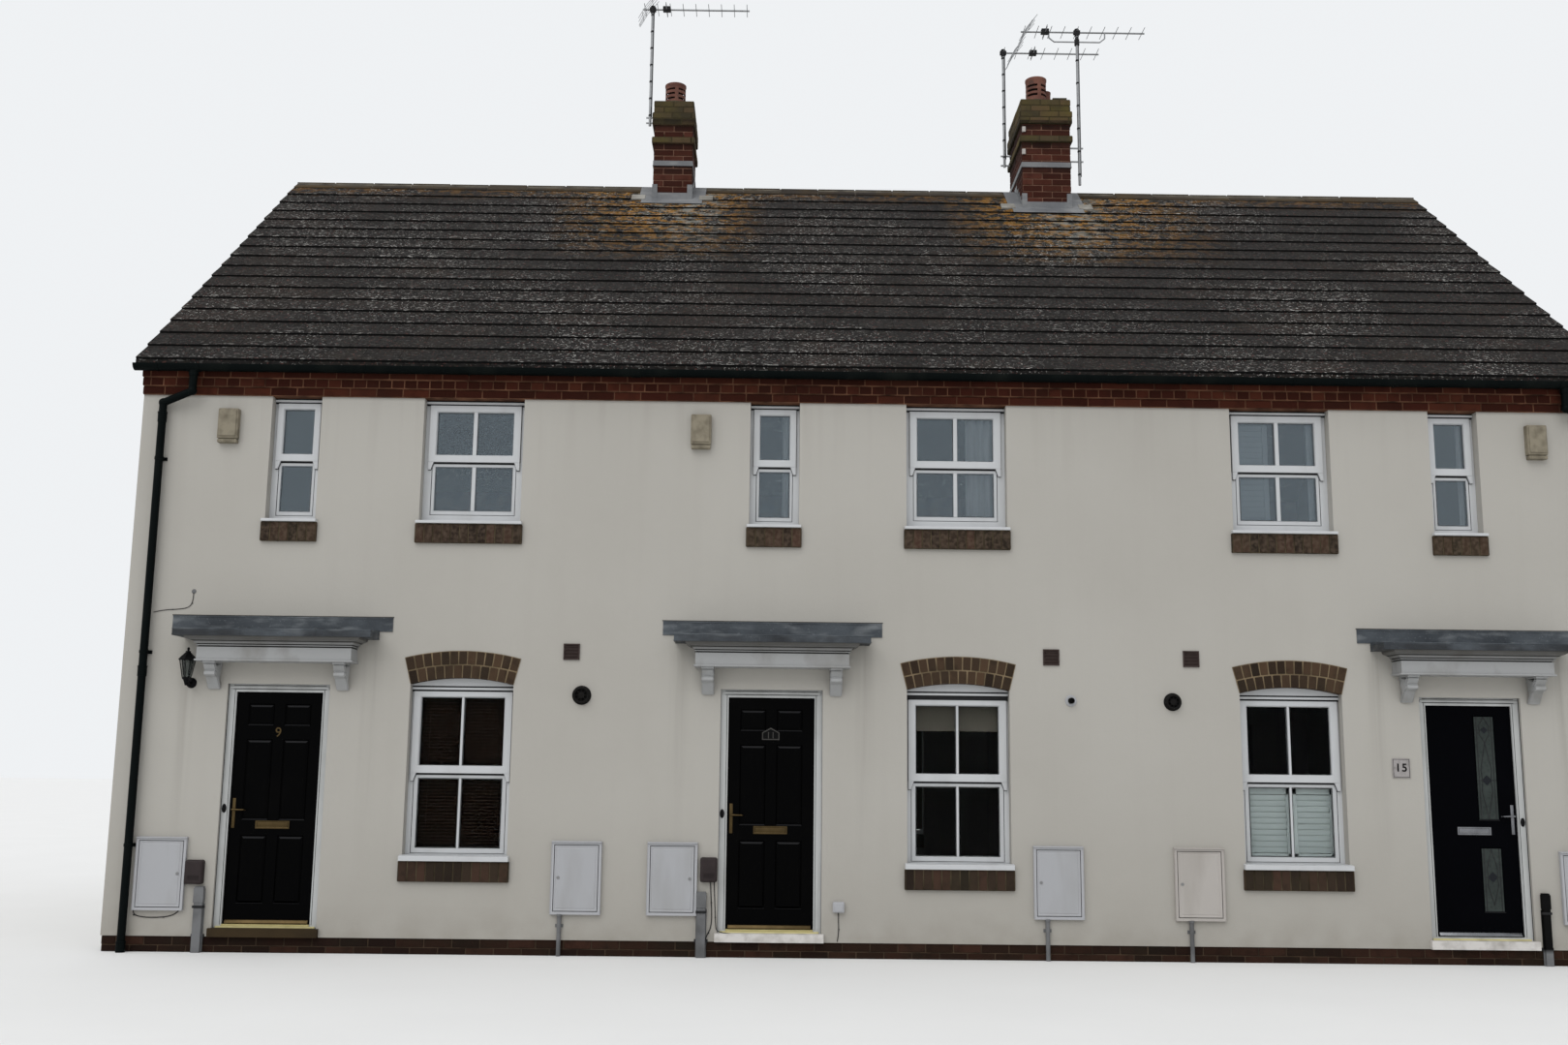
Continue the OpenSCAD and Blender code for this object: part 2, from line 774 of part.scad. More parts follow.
module downpipe_necks() color(black_colour) in_row() front_and_back() {
  downpipe_neck(1);
  downpipe_neck(-1);
}

module window_arches() color("#8a5a43") in_row() front_and_back() {
  for (x = window_x) upright([-6, wall_t]) difference() {
    arch_wedge(x, arch_r + arch_ring);
    translate([x, arch_zc]) circle(arch_r, $fn = 180);
  }
}

module brick_sill(x, half, top) {
  z = [top - brick_sill_h, top];
  block(opening_at(x, half), [-brick_sill_reach, wall_t], z);
  block(opening_at(x, half + sill_ear), [-brick_sill_reach, 0], z);
}

module brick_sills() color("#6b4a3a") in_row() front_and_back() {
  for (h = houses) {
    brick_sill(window_x[h], window_half, sill_bottom[h]);
    brick_sill(window_x[h], window_half, upper_sill_bottom);
    brick_sill(door_x[h], narrow_half, upper_sill_bottom);
  }
}

// Kinds of sash as [half of the opening, width beside the glass, bar, columns]
wide_sash = [window_half, sash_side, sash_bar, 2];
upper_sash = [window_half, upper_sash_side, upper_sash_bar, 2];
narrow_sash = [narrow_half, narrow_sash_side, 0, 1];

// Panes over the foot of the lowest glass as [x from, x to, z from, z to]
function panes(x, sash, foot, h) = [
  for (row = [0, 1], column = [0 : sash[3] - 1])
    let (
      span = 2 * (sash[0] - sash[1]),
      pane = (span - (sash[3] - 1) * sash[2]) / sash[3],
      x0 = x - sash[0] + sash[1] + column * (pane + sash[2]),
      z0 = foot + row * (h + sash_meet)
    ) [x0, x0 + pane, z0, z0 + h]
];

module pane_shapes(list) for (p = list) rect_xz([p[0], p[1]], [p[2], p[3]]);

module white_sill(x, half, top, t) {
  block(opening_at(x, half), [-sill_reach, window_set + frame_t], [top - t, top]);
  block(opening_at(x, half + sill_ear), [-sill_reach, 0], [top - t, top]);
}

glass_foot = [for (z = sill_z) z + sash_foot];
upper_glass_foot = upper_sill_z + upper_sash_foot;
narrow_glass_foot = upper_sill_z + narrow_sash_foot;
frame_y = [window_set, window_set + frame_t];
glass_y = [window_set + (frame_t - glass_t) / 2, window_set + (frame_t + glass_t) / 2];

module ground_windows() color(white_colour) in_row() front_and_back() {
  for (h = houses) {
    x = window_x[h];
    upright(frame_y) difference() {
      arched_opening(x, sill_z[h]);
      pane_shapes(panes(x, wide_sash, glass_foot[h], pane_h));
    }
    white_sill(x, window_half, sill_z[h], sill_t);
  }
}

module upper_window(x, sash, foot, h) {
  upright(frame_y) difference() {
    rect_xz(opening_at(x, sash[0]), [upper_sill_z, render_top]);
    pane_shapes(panes(x, sash, foot, h));
  }
  white_sill(x, sash[0], upper_sill_z, upper_sill_t);
}

module upper_windows() color(white_colour) in_row() front_and_back() {
  for (h = houses) {
    upper_window(window_x[h], upper_sash, upper_glass_foot, upper_pane_h);
    upper_window(door_x[h], narrow_sash, narrow_glass_foot, narrow_pane_h);
  }
}

module window_glass() color("#39434d") in_row() front_and_back() {
  for (h = houses) upright(glass_y) {
    pane_shapes(panes(window_x[h], wide_sash, glass_foot[h], pane_h));
    pane_shapes(panes(window_x[h], upper_sash, upper_glass_foot, upper_pane_h));
    pane_shapes(panes(door_x[h], narrow_sash, narrow_glass_foot, narrow_pane_h));
  }
}

// Frame of two jambs and a head, with a lip outside and a metal threshold
module door_frame(x) {
  outer = opening_at(x, door_half);
  clear = opening_at(x, door_clear_w / 2);
  lip = opening_at(x, lip_w / 2);
  foot = door_sill_z;
  difference() {
    block(outer, [door_set, door_set + door_frame_t], [foot, door_head]);
    block(lip, [0, wall_t], [foot + threshold_h, door_head - door_jamb - door_lip]);
    block(clear, [door_set + lip_t, wall_t], [foot + threshold_h, door_head - door_jamb]);
  }
}

module door_frames() color(white_colour) in_row() front_and_back() {
  for (x = door_x) door_frame(x);
}

module door_sill(x) {
  block(opening_at(x, door_half), [0, wall_t], [plinth_h, floor_z]);
  block(opening_at(x, door_half), [0, door_set + door_frame_t], [floor_z, door_sill_z]);
  block(opening_at(x, door_half + sill_ear), [-door_sill_reach, 0], [plinth_h, door_sill_z]);
}

module door_sills() color("#cfc8bb") in_row() front_and_back() for (x = door_x) door_sill(x);

// Leaf with a list of sunk panels as [x from, x to, z from, z to], shares of the leaf
module leaf(x, y, sunk, depth) {
  difference() {
    block(opening_at(x, leaf_w / 2), [y, y + door_t], [leaf_bottom, leaf_top]);
    for (p = sunk) {
      px = [x - leaf_w / 2 + p[0] * leaf_w, x - leaf_w / 2 + p[1] * leaf_w];
      pz = [leaf_bottom + p[2] * leaf_h, leaf_bottom + p[3] * leaf_h];
      block(px, [y - eps, y + depth], pz);
      block(px, [y + door_t - depth, y + door_t + eps], pz);
    }
  }
}

six_panels = [
  for (x = [[0.16, 0.44], [0.56, 0.84]], z = [[0.1, 0.36], [0.45, 0.78], [0.85, 0.95]])
    [x[0], x[1], z[0], z[1]]
];
two_lights = [[0.56, 0.81, 0.1, 0.38], [0.56, 0.81, 0.495, 0.955]];

module left_front_door() color("#141416") in_row() leaf(door_x[0], leaf_y, six_panels, 8);

module middle_front_door() color("#141416") in_row() leaf(door_x[1], leaf_y, six_panels, 8);

module right_front_door() color("#23304f") in_row() leaf(door_x[2], leaf_y, two_lights, 10);

module back_doors() color("#dcdcd6") in_row() on_back() {
  for (x = door_x) block(opening_at(x, door_clear_w / 2), [leaf_y - door_gap + 1, leaf_y + door_t],
                         [door_sill_z + threshold_h, door_head - door_jamb]);
}

// Letter plate, lever handles and weather bar; free is the side of the lock
module door_fittings(house, free) {
  x = door_x[house];
  letter_foot = letter_z[house];
  handle = [x + free * (leaf_w / 2 - handle_in), handle_z[house]];
  bar_half = lip_w / 2 - weather_bar[0];
  block(opening_at(x, letter_plate[0] / 2), [leaf_y - letter_plate[1], leaf_y],
        [letter_foot, letter_foot + letter_plate[2]]);
  block(opening_at(x, bar_half), [leaf_y - weather_bar[1], leaf_y],
        [leaf_bottom, leaf_bottom + weather_bar[2]]);
  lever(handle, -free, leaf_y, -1);
  lever(handle, -free, leaf_y + door_t, 1);
}

// Lever on a tall backplate round a point in x and z, outside (-1) or inside (1)
module lever(at, turn, face, out) {
  x = at[0];
  tip = face + out * lever_out;
  root = face + out * backplate[1] / 2;
  plate_end = face + out * backplate[1];
  z = at[1] + backplate[0];
  block(opening_at(x, backplate[0] / 2), [min(face, plate_end), max(face, plate_end)],
        [at[1] - backplate[2] / 2, at[1] + backplate[2] / 2]);
  bar([x, root, z], [x, tip, z], lever_d);
  bar([x, tip, z], [x + turn * lever_l, tip, z], lever_d);
  translate([x, tip, z]) sphere(d = lever_d, $fn = 24);
}

module left_door_fittings() color("#b89a5a") in_row() door_fittings(0, -1);

module middle_door_fittings() color("#b89a5a") in_row() door_fittings(1, -1);

module right_door_fittings() color("#c8cacc") in_row() door_fittings(2, 1);

module canopy_roofs() color(lead_colour) in_row() for (x = door_x) {
  along(opening_at(x, canopy_half + canopy_reach + canopy_ear)) polygon([
    [0, canopy_lead_z], [0, canopy_top + canopy_fall],
    [-canopy_reach, canopy_top], [-canopy_reach, canopy_lead_z]
  ]);
  block(opening_at(x, flashing_half), [-lead_t, 0],
        [canopy_top + canopy_fall - 10, canopy_top + flashing_h]);
}

// Mouldings mitred at the two front corners and returned to the wall
module canopy_cornice(x) {
  right = [for (p = canopy_outline) [canopy_half + p[0], p[1]]];
  left = [for (i = [len(right) - 1 : -1 : 0]) [-right[i][0], right[i][1]]];
  front = [for (p = canopy_outline) [-p[0], p[1]]];
  span = canopy_half + canopy_reach;
  intersection() {
    along([x - span, x + span]) polygon(concat([[0, canopy_z]], front, [[0, canopy_lead_z]]));
    upright([-canopy_reach, 0]) translate([x, 0]) polygon(concat(right, left));
  }
}

module canopy_cornices() color(white_colour) in_row() for (x = door_x) canopy_cornice(x);

// Bracket in side view, in y and z: a slim foot swept out to a roll, a hollow and
// a block under the board
module bracket_profile() {
  foot = canopy_z - bracket_h;
  front = canopy_board_reach - 10;
  polygon([
    [0, foot], [-20, foot], [-26, foot + 40], [-55, foot + 80], [-front + 40, foot + 112],
    [-front + 30, foot + 116], [-front + 30, foot + 144], [-front + 52, foot + 150],
    [-front + 42, foot + 186], [-front + 20, canopy_z - 30], [-front, canopy_z - 29],
    [-front, canopy_z], [0, canopy_z]
  ]);
}

module canopy_brackets() color(white_colour) in_row() for (x = door_x, side = [-1, 1]) {
  outer = x + side * bracket_half;
  inner = outer - side * bracket_w;
  along([min(outer, inner), max(outer, inner)]) bracket_profile();
}

// Open-fronted box let into the wall with a rim round its door
module cupboard(x) {
  z = [cupboard_z, cupboard_z + cupboard_h];
  difference() {
    block(opening_at(x, cupboard_w / 2), [-cupboard_proud, cupboard_d], z);
    block(opening_at(x, cupboard_w / 2 - cupboard_t), [-cupboard_proud + cupboard_door_t + 10,
          cupboard_d - cupboard_t], [z[0] + cupboard_t, z[1] - cupboard_t]);
    block(opening_at(x, cupboard_w / 2 - cupboard_rim), [-cupboard_proud - eps, 0],
          [z[0] + cupboard_rim, z[1] - cupboard_rim]);
  }
}

module meter_cupboards() color("#e6e6e4") in_row() for (x = cupboard_x) cupboard(x);

module cupboard_door(x) {
  block(opening_at(x, cup_leaf_w / 2), [-cupboard_proud, -cupboard_proud + cupboard_door_t],
        [cup_leaf_z, cup_leaf_z + cup_leaf_h]);
}

module left_gas_door() color(white_colour) in_row() cupboard_door(gas_x[0]);

module middle_gas_door() color(white_colour) in_row() cupboard_door(gas_x[1]);

module right_gas_door() color("#e4dcc6") in_row() cupboard_door(gas_x[2]);

module left_electric_door() color(white_colour) in_row() cupboard_door(electric_x[0]);

module middle_electric_door() color(white_colour) in_row() cupboard_door(electric_x[1]);

module right_electric_door() color(white_colour) in_row() cupboard_door(electric_x[2]);

// Alarm boxes under the eaves, small junction boxes and the plaque by the right door
module wall_boxes() color("#cfc7b0") in_row() {
  for (b = front_boxes)
    block(opening_at(b[0], b[2][0] / 2), [-b[2][1], 0], [b[1], b[1] + b[2][2]]);
}

module wall_vents() color("#6a4a3c") in_row() for (h = houses) {
  vent = front_vents[h];
  flue = front_flues[h];
  block(opening_at(gas_x[h] + vent[0], vent[1] / 2), [-vent_t, 0],
        [vent_z - vent[1] / 2, vent_z + vent[1] / 2]);
  translate([gas_x[h] + flue[0], 0, flue_z]) rotate([90, 0, 0])
    cylinder(d = flue[1], h = flue_out, $fn = 40);
}

// Six-sided carriage lantern standing on a bracket arm
module wall_lantern() color(black_colour) in_row() {
  x = door_x[0] - door_half - 314;
  y = -125;
  arm_z = door_head;
  glass_z = arm_z + 40;
  cap_z = glass_z + 150;
  peak_z = cap_z + 75;
  plate_t = 20;
  translate([x, 0, arm_z]) rotate([90, 0, 0]) cylinder(d = 90, h = plate_t, $fn = 32);
  bar([x, -plate_t, arm_z], [x, y, arm_z], 22);
  bar([x, y, arm_z - 10], [x, y, glass_z], 40);
  translate([x, y, glass_z]) cylinder(d1 = 72, d2 = 132, h = cap_z - glass_z, $fn = 6);
  translate([x, y, cap_z]) cylinder(d1 = 156, d2 = 46, h = peak_z - cap_z, $fn = 6);
  bar([x, y, peak_z], [x, y, peak_z + 34], 24);
}

// Cable guards and gas risers between the ground and the boxes
module service_ducts() color("#8c9092") in_row() {
  for (g = cable_guards) block(opening_at(g[0], g[1][0] / 2), [-g[1][1], 0], [0, g[1][2]]);
  for (h = houses) {
    riser = [gas_x[h] + riser_off[h], -(riser_d / 2 + riser_gap), 0];
    bar(riser, riser + [0, 0, cupboard_z], riser_d);
  }
}

plinth();
ground_floor();
first_floor();
front_left_pier();
front_ground_piers();
front_upper_piers();
front_wall_aprons();
front_wall_band();
eaves_front();
back_wall_piers();
back_wall_aprons();
back_wall_band();
eaves_back();
left_gable_wall();
right_gable_wall();
party_walls();
roof_front();
roof_back();
ridge_tiles();
chimney_stacks();
chimney_pots();
chimney_lead();
aerials();
gutters();
downpipes();
downpipe_necks();
window_arches();
brick_sills();
ground_windows();
upper_windows();
window_glass();
door_frames();
door_sills();
back_doors();
left_front_door();
middle_front_door();
right_front_door();
left_door_fittings();
middle_door_fittings();
right_door_fittings();
canopy_roofs();
canopy_cornices();
canopy_brackets();
meter_cupboards();
left_gas_door();
middle_gas_door();
right_gas_door();
left_electric_door();
middle_electric_door();
right_electric_door();
wall_boxes();
wall_vents();
wall_lantern();
service_ducts();
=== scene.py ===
# %% [markdown]
# # A row of three terraced houses
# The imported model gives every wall, floor and joint its real size. This script dresses it:
# bricks, tiles, sashes, doors and lead are modelled to scale, and each surface gets a
# material built from nodes. The frame comes first, because every piece is placed by it.

# %% Load the frame
import random
from collections import namedtuple
from math import asin, atan2, ceil, cos, pi, radians, sin, tan

import bmesh
import bpy
from mathutils import Matrix, Vector


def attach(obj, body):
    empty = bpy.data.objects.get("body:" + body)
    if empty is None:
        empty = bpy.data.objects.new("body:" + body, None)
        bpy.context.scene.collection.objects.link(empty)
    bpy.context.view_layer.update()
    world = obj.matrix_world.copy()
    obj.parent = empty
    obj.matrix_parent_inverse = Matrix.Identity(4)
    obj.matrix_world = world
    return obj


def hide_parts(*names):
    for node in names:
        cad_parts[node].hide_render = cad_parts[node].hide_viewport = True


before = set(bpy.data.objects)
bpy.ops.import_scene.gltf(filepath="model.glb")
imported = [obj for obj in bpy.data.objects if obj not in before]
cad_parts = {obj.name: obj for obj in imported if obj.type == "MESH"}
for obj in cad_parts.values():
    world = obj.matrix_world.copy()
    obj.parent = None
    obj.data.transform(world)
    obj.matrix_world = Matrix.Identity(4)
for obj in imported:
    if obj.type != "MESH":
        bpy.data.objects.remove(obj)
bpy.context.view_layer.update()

# %% [markdown]
# The part's origin is at the centre of the row. A facade is easier to read from its left
# corner, so pieces are drawn in row places: x along the street from the left corner,
# y into the houses from the wall face, z up from the ground. They move to the frame last.

# %% Places along the row
ROW_W, HOUSE_D, WALL_T = 13.12, 7.68, 0.25
TO_FRAME = Vector((-ROW_W / 2, -HOUSE_D / 2, 0))
RIDGE_Y = HOUSE_D / 2
DOOR_X = (1.364, 5.620, 11.680)
WINDOW_X = (2.940, 7.235, 10.124)
GAS_X = (3.98, 8.075, 9.275)
ELECTRIC_X = (0.467, 4.793, 12.575)
COURSE = 0.075
BRICK_L = 0.225
MORTAR = 0.010
random.seed(7)

# %% [markdown]
# The photograph was taken from straight ahead, at eye height, a little left of the middle of
# the row and tilted up. The lens and the tilt were fitted to the wall's edges.

# %% Camera
def into_scene(name, data):
    """Makes an object of some data and puts it in the scene."""
    made = bpy.data.objects.new(name, data)
    bpy.context.scene.collection.objects.link(made)
    return made


def look(yaw, tilt, roll):
    """Turns a camera that looks along +Y by yaw to the right, tilt upwards and roll."""
    return (Matrix.Rotation(-yaw, 4, "Z") @ Matrix.Rotation(tilt, 4, "X")
            @ Matrix.Rotation(radians(90), 4, "X") @ Matrix.Rotation(-roll, 4, "Z"))


EYE = (-0.9537, -17.0399, 1.5484)
camera = into_scene("street_camera", bpy.data.cameras.new("street_camera"))
camera.data.lens = 34.835
camera.data.sensor_width = 36
camera.data.clip_end = 500
camera.matrix_world = Matrix.Translation(EYE) @ look(*map(radians, (0.4438, 9.3353, -0.6409)))
bpy.context.scene.camera = camera

# %% [markdown]
# Node materials are easier to read as arithmetic. `Num` wraps one output socket and turns
# Python's operators into Math nodes; `Finish` starts a material and adds any other node.

# %% Shader arithmetic
class Num:
    """A number socket of a material; operators on it add Math nodes."""

    def __init__(self, finish, socket):
        self.finish, self.socket = finish, socket

    def math(self, operation, *values):
        return self.finish.node("Math", {"operation": operation}, dict(enumerate(values)))

    def fraction(self):
        """What is left of the number after its whole part."""
        return self.math("FRACT", self)

    def __add__(self, other):
        return self.math("ADD", self, other)

    def __mul__(self, other):
        return self.math("MULTIPLY", self, other)

    def __sub__(self, other):
        return self.math("SUBTRACT", self, other)

    def __gt__(self, other):
        return self.math("GREATER_THAN", self, other)

    def abs(self):
        return self.math("ABSOLUTE", self)

    def clamp(self, low, high):
        """Runs from 0 at low to 1 at high, and stays inside."""
        return self.finish.node("MapRange", {"clamp": True},
                                {"Value": self, "From Min": low, "From Max": high})


class Finish:
    """A material with its shader and the nodes that feed it."""

    def __init__(self, name, colour, rough, gloss=0.5, **constants):
        self.material = bpy.data.materials.new(name)
        self.material.use_nodes = True
        self.tree = self.material.node_tree
        self.shader = self.tree.nodes["Principled BSDF"]
        self.shader.inputs["Base Color"].default_value = (*colour, 1)
        self.shader.inputs["Roughness"].default_value = rough
        self.shader.inputs["Specular IOR Level"].default_value = gloss
        for key, value in constants.items():
            self.shader.inputs[key.replace("_", " ")].default_value = value
        self.colour = colour
        self.place = self.node("TexCoord", out="Object")

    def node(self, kind, settings=None, inputs=None, out=0):
        made = self.tree.nodes.new("ShaderNode" + kind)
        for key, value in (settings or {}).items():
            setattr(made, key, value)
        for key, value in (inputs or {}).items():
            if isinstance(value, Num):
                self.tree.links.new(value.socket, made.inputs[key])
            else:
                made.inputs[key].default_value = value
        return Num(self, made.outputs[out])

    def noise(self, scale, detail=3.0, stretch=None, seed=0.0):
        """Soft random value round 0.5; stretch scales the pattern's place along x, y, z."""
        place = self.place
        if stretch or seed:
            place = self.node("Mapping", None,
                              {"Vector": place, "Location": (seed, seed, seed),
                               "Scale": stretch or (1, 1, 1)})
        return self.node("TexNoise", None,
                         {"Vector": place, "Scale": scale, "Detail": detail}, "Fac")

    def cells(self, scale):
        """Distance to the nearest of many scattered points."""
        return self.node("TexVoronoi", None, {"Vector": self.place, "Scale": scale},
                         "Distance")

    def axis(self, letter):
        return self.node("SeparateXYZ", None, {"Vector": self.place}, letter)

    def attribute(self, name):
        return self.node("Attribute", {"attribute_name": name}, out="Fac")

    def mix(self, low, high, share):
        """Colour that goes from low to high with share; each is a colour or a mix."""
        pair = [c if isinstance(c, Num) else (*c, 1) for c in (low, high)]
        return self.node("Mix", {"data_type": "RGBA"},
                         {0: share, 6: pair[0], 7: pair[1]}, 2)

    def over(self, colour, share):
        """Lays one more colour over those that the finish has."""
        self.colour = self.mix(self.colour, colour, share)
        return self.feed(Base_Color=self.colour)

    def feed(self, **links):
        for key, value in links.items():
            self.tree.links.new(value.socket, self.shader.inputs[key.replace("_", " ")])
        return self

    def bump(self, height, depth, strength=1.0):
        normal = self.node("Bump", None,
                           {"Height": height, "Distance": depth, "Strength": strength})
        return self.feed(Normal=normal)


def mottled(name, low, high, rough, *pattern, span=None, share=1, grain=None, **constants):
    """A finish that wanders between two colours. The pattern is a noise's scale, detail and
    stretch, span what of it counts, and grain the scale, detail and depth of the bump."""
    made = Finish(name, low, rough, **constants)
    wander = made.noise(*pattern)
    if span:
        wander = wander.clamp(*span)
    if share != 1:
        wander = wander * share
    made.over(high, wander)
    if grain:
        made.bump(made.noise(*grain[:2]), grain[2])
    return made

# %% [markdown]
# Every piece ends the same way: its loose mesh becomes an object, moves from row places to
# the frame, takes its finish, hangs from the body that carries it and hides the solids it stands
# for.
# Pieces on the front are repeated on the back by mirroring the mesh, faces turned again.

# %% Pieces
def bevel(bm, width, segments=2, edges=None):
    """Rounds edges, so that they catch the light as real ones do."""
    bmesh.ops.bevel(bm, geom=edges or bm.edges[:], offset=width, offset_type="OFFSET",
                    segments=segments, affect="EDGES", profile=0.5, material=-1,
                    clamp_overlap=True)


def block(bm, low, high, matrix=None):
    """Adds a box between two opposite corners and returns its vertices."""
    low, high = (Vector(map(pick, low, high)) for pick in (min, max))
    place = Matrix.Translation((low + high) / 2) @ Matrix.Diagonal((*(high - low), 1))
    made = bmesh.ops.create_cube(bm, size=1, matrix=(matrix or Matrix()) @ place)
    return made["verts"]


def tube(bm, start, end, radius, sides=16, end_radius=None):
    """Adds a round bar, or a cone, between two points."""
    start, end = Vector(start), Vector(end)
    turn = (end - start).to_track_quat("Z", "Y").to_matrix().to_4x4()
    made = bmesh.ops.create_cone(
        bm, cap_ends=True, segments=sides, radius1=radius,
        radius2=radius if end_radius is None else end_radius, depth=(end - start).length,
        matrix=Matrix.Translation((start + end) / 2) @ turn)
    return made["verts"]


def rod(bm, x, y, z, *shape):
    """Adds a tube along an axis; one of x, y and z is a pair, from and to."""
    ends = zip(*(c if isinstance(c, tuple) else (c, c) for c in (x, y, z)))
    return tube(bm, *ends, *shape)


def across(bm, x, half, y, z):
    """Adds a block that reaches as far left as right of x; y and z are pairs."""
    return block(bm, (x - half, y[0], z[0]), (x + half, y[1], z[1]))


def verts_in(geom):
    return [g for g in geom if isinstance(g, bmesh.types.BMVert)]


def faces_in(geom):
    return [g for g in geom if isinstance(g, bmesh.types.BMFace)]


def edges_of(verts):
    return list(dict.fromkeys(e for v in verts for e in v.link_edges))


def faces_of(verts):
    return list(dict.fromkeys(f for v in verts for f in v.link_faces))


def front_of(verts):
    """The face of a block that looks to the street."""
    return min(faces_of(verts), key=lambda f: f.calc_center_median().y)


def outwards(bm):
    """Turns every face to look out of its own closed shape."""
    bmesh.ops.recalc_face_normals(bm, faces=bm.faces[:])


def outline(bm, points, depth):
    """Makes a face from a drawing's corners and pushes it through by depth."""
    face = bmesh.ops.contextual_create(bm, geom=[bm.verts.new(p) for p in points])["faces"]
    pushed = bmesh.ops.extrude_face_region(bm, geom=face, use_keep_orig=True)
    bmesh.ops.translate(bm, verts=verts_in(pushed["geom"]), vec=depth)
    outwards(bm)


def sink(bm, face, *steps):
    """Insets a face again and again; each step is (thickness, depth)."""
    for thickness, depth in steps:
        bmesh.ops.inset_individual(bm, faces=[face], thickness=thickness, depth=depth)


def shed_rain(verts, fall):
    """Lowers the upper front edge of a block."""
    front, top = min(v.co.y for v in verts), max(v.co.z for v in verts)
    for v in verts:
        if v.co.y < front + 1e-4 and v.co.z > top - 1e-4:
            v.co.z -= fall


def whole(bm):
    return bm.verts[:] + bm.edges[:] + bm.faces[:]


def merge(target, source, move=(0, 0, 0)):
    """Moves one bmesh into another."""
    bmesh.ops.translate(source, verts=source.verts[:], vec=move)
    spare = bpy.data.meshes.new("spare")
    source.to_mesh(spare)
    source.free()
    target.from_mesh(spare)
    bpy.data.meshes.remove(spare)


def draw_into(bm, curve):
    """Adds what a curve or a text draws to a mesh."""
    drawn = bpy.data.objects.new(curve.name, curve)
    mesh = bpy.data.meshes.new_from_object(drawn)
    bm.from_mesh(mesh)
    bpy.data.objects.remove(drawn)
    bpy.data.meshes.remove(mesh)


def to_back(bm, geom):
    """Mirrors geometry from the front of the row to the back."""
    bmesh.ops.scale(bm, verts=verts_in(geom), vec=(1, -1, 1),
                    space=Matrix.Translation((0, -RIDGE_Y, 0)))
    bmesh.ops.reverse_faces(bm, faces=faces_in(geom))


def finish_piece(name, bm, finish, slot, body="house_row", stands_for=(), smooth=False,
                 both=False):
    """Turns a bmesh into a piece of the row."""
    if both:
        to_back(bm, bmesh.ops.duplicate(bm, geom=whole(bm))["geom"])
    bmesh.ops.translate(bm, verts=bm.verts[:], vec=TO_FRAME)
    mesh = bpy.data.meshes.new(name)
    bm.to_mesh(mesh)
    bm.free()
    piece = into_scene(name, mesh)
    mesh.materials.append(finish.material)
    if smooth:
        mesh.shade_smooth()
        mesh.set_sharp_from_angle(angle=radians(35))
    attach(piece, body)
    if stands_for:
        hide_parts(*stands_for)
    triangles = sum(len(p.vertices) - 2 for p in mesh.polygons)
    print(f"{name}: {triangles} triangles")
    return piece


def dress(node, finish):
    """Gives a solid of the frame its finish."""
    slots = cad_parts[node].data.materials
    slots.clear()
    slots.append(finish.material)

# %% [markdown]
# The light is that of an overcast day in a studio: an even pale sky and one very wide lamp
# from the front left, so that sills and canopies keep a soft shadow. The camera, glass and
# metal see the backdrop's own pale colour.

# %% Light and floor
def pale_sky(light, seen):
    """A world that lights with one strength and shows itself with another."""
    world = bpy.data.worlds.new("pale_sky")
    world.use_nodes = True
    tree = world.node_tree
    lit, shown = tree.nodes["Background"], tree.nodes.new("ShaderNodeBackground")
    for node, colour, strength in ((lit, (0.97, 0.98, 1, 1), light),
                                   (shown, (0.93, 0.95, 0.97, 1), seen)):
        node.inputs["Color"].default_value = colour
        node.inputs["Strength"].default_value = strength
    rays = tree.nodes.new("ShaderNodeLightPath")
    share = rays.outputs["Is Camera Ray"]
    for other in ("Is Glossy Ray", "Is Transmission Ray"):
        either = tree.nodes.new("ShaderNodeMath")
        either.operation = "MAXIMUM"
        tree.links.new(share, either.inputs[0])
        tree.links.new(rays.outputs[other], either.inputs[1])
        share = either.outputs[0]
    mix = tree.nodes.new("ShaderNodeMixShader")
    tree.links.new(share, mix.inputs[0])
    tree.links.new(lit.outputs[0], mix.inputs[1])
    tree.links.new(shown.outputs[0], mix.inputs[2])
    tree.links.new(mix.outputs[0], tree.nodes["World Output"].inputs["Surface"])
    return world


scene = bpy.context.scene
scene.view_settings.view_transform = "Standard"
scene.world = pale_sky(light=0.82, seen=0.93)

lamp = bpy.data.lights.new("wide_lamp", "SUN")
lamp.energy = 1.25
lamp.angle = radians(55)
into_scene("wide_lamp", lamp).matrix_world = look(radians(28), radians(-48), 0)

floor_finish = mottled("pale_floor", (0.76, 0.76, 0.75), (0.8, 0.8, 0.79), 0.9, 0.8, 4)
floor_mesh = bpy.data.meshes.new("studio_floor")
bm = bmesh.new()
bmesh.ops.create_grid(bm, x_segments=4, y_segments=4, size=150)
bm.to_mesh(floor_mesh)
bm.free()
floor_mesh.materials.append(floor_finish.material)
into_scene("studio_floor", floor_mesh)

# %% [markdown]
# The walls are brick under a fine sprayed render. Its cream is never quite even: broad soft
# clouds, thin runs under edges that drip and a grey-green foot where rain splashes. A fine
# bump gives the sprayed grain. The party walls and floors inside get plain builders' finishes.

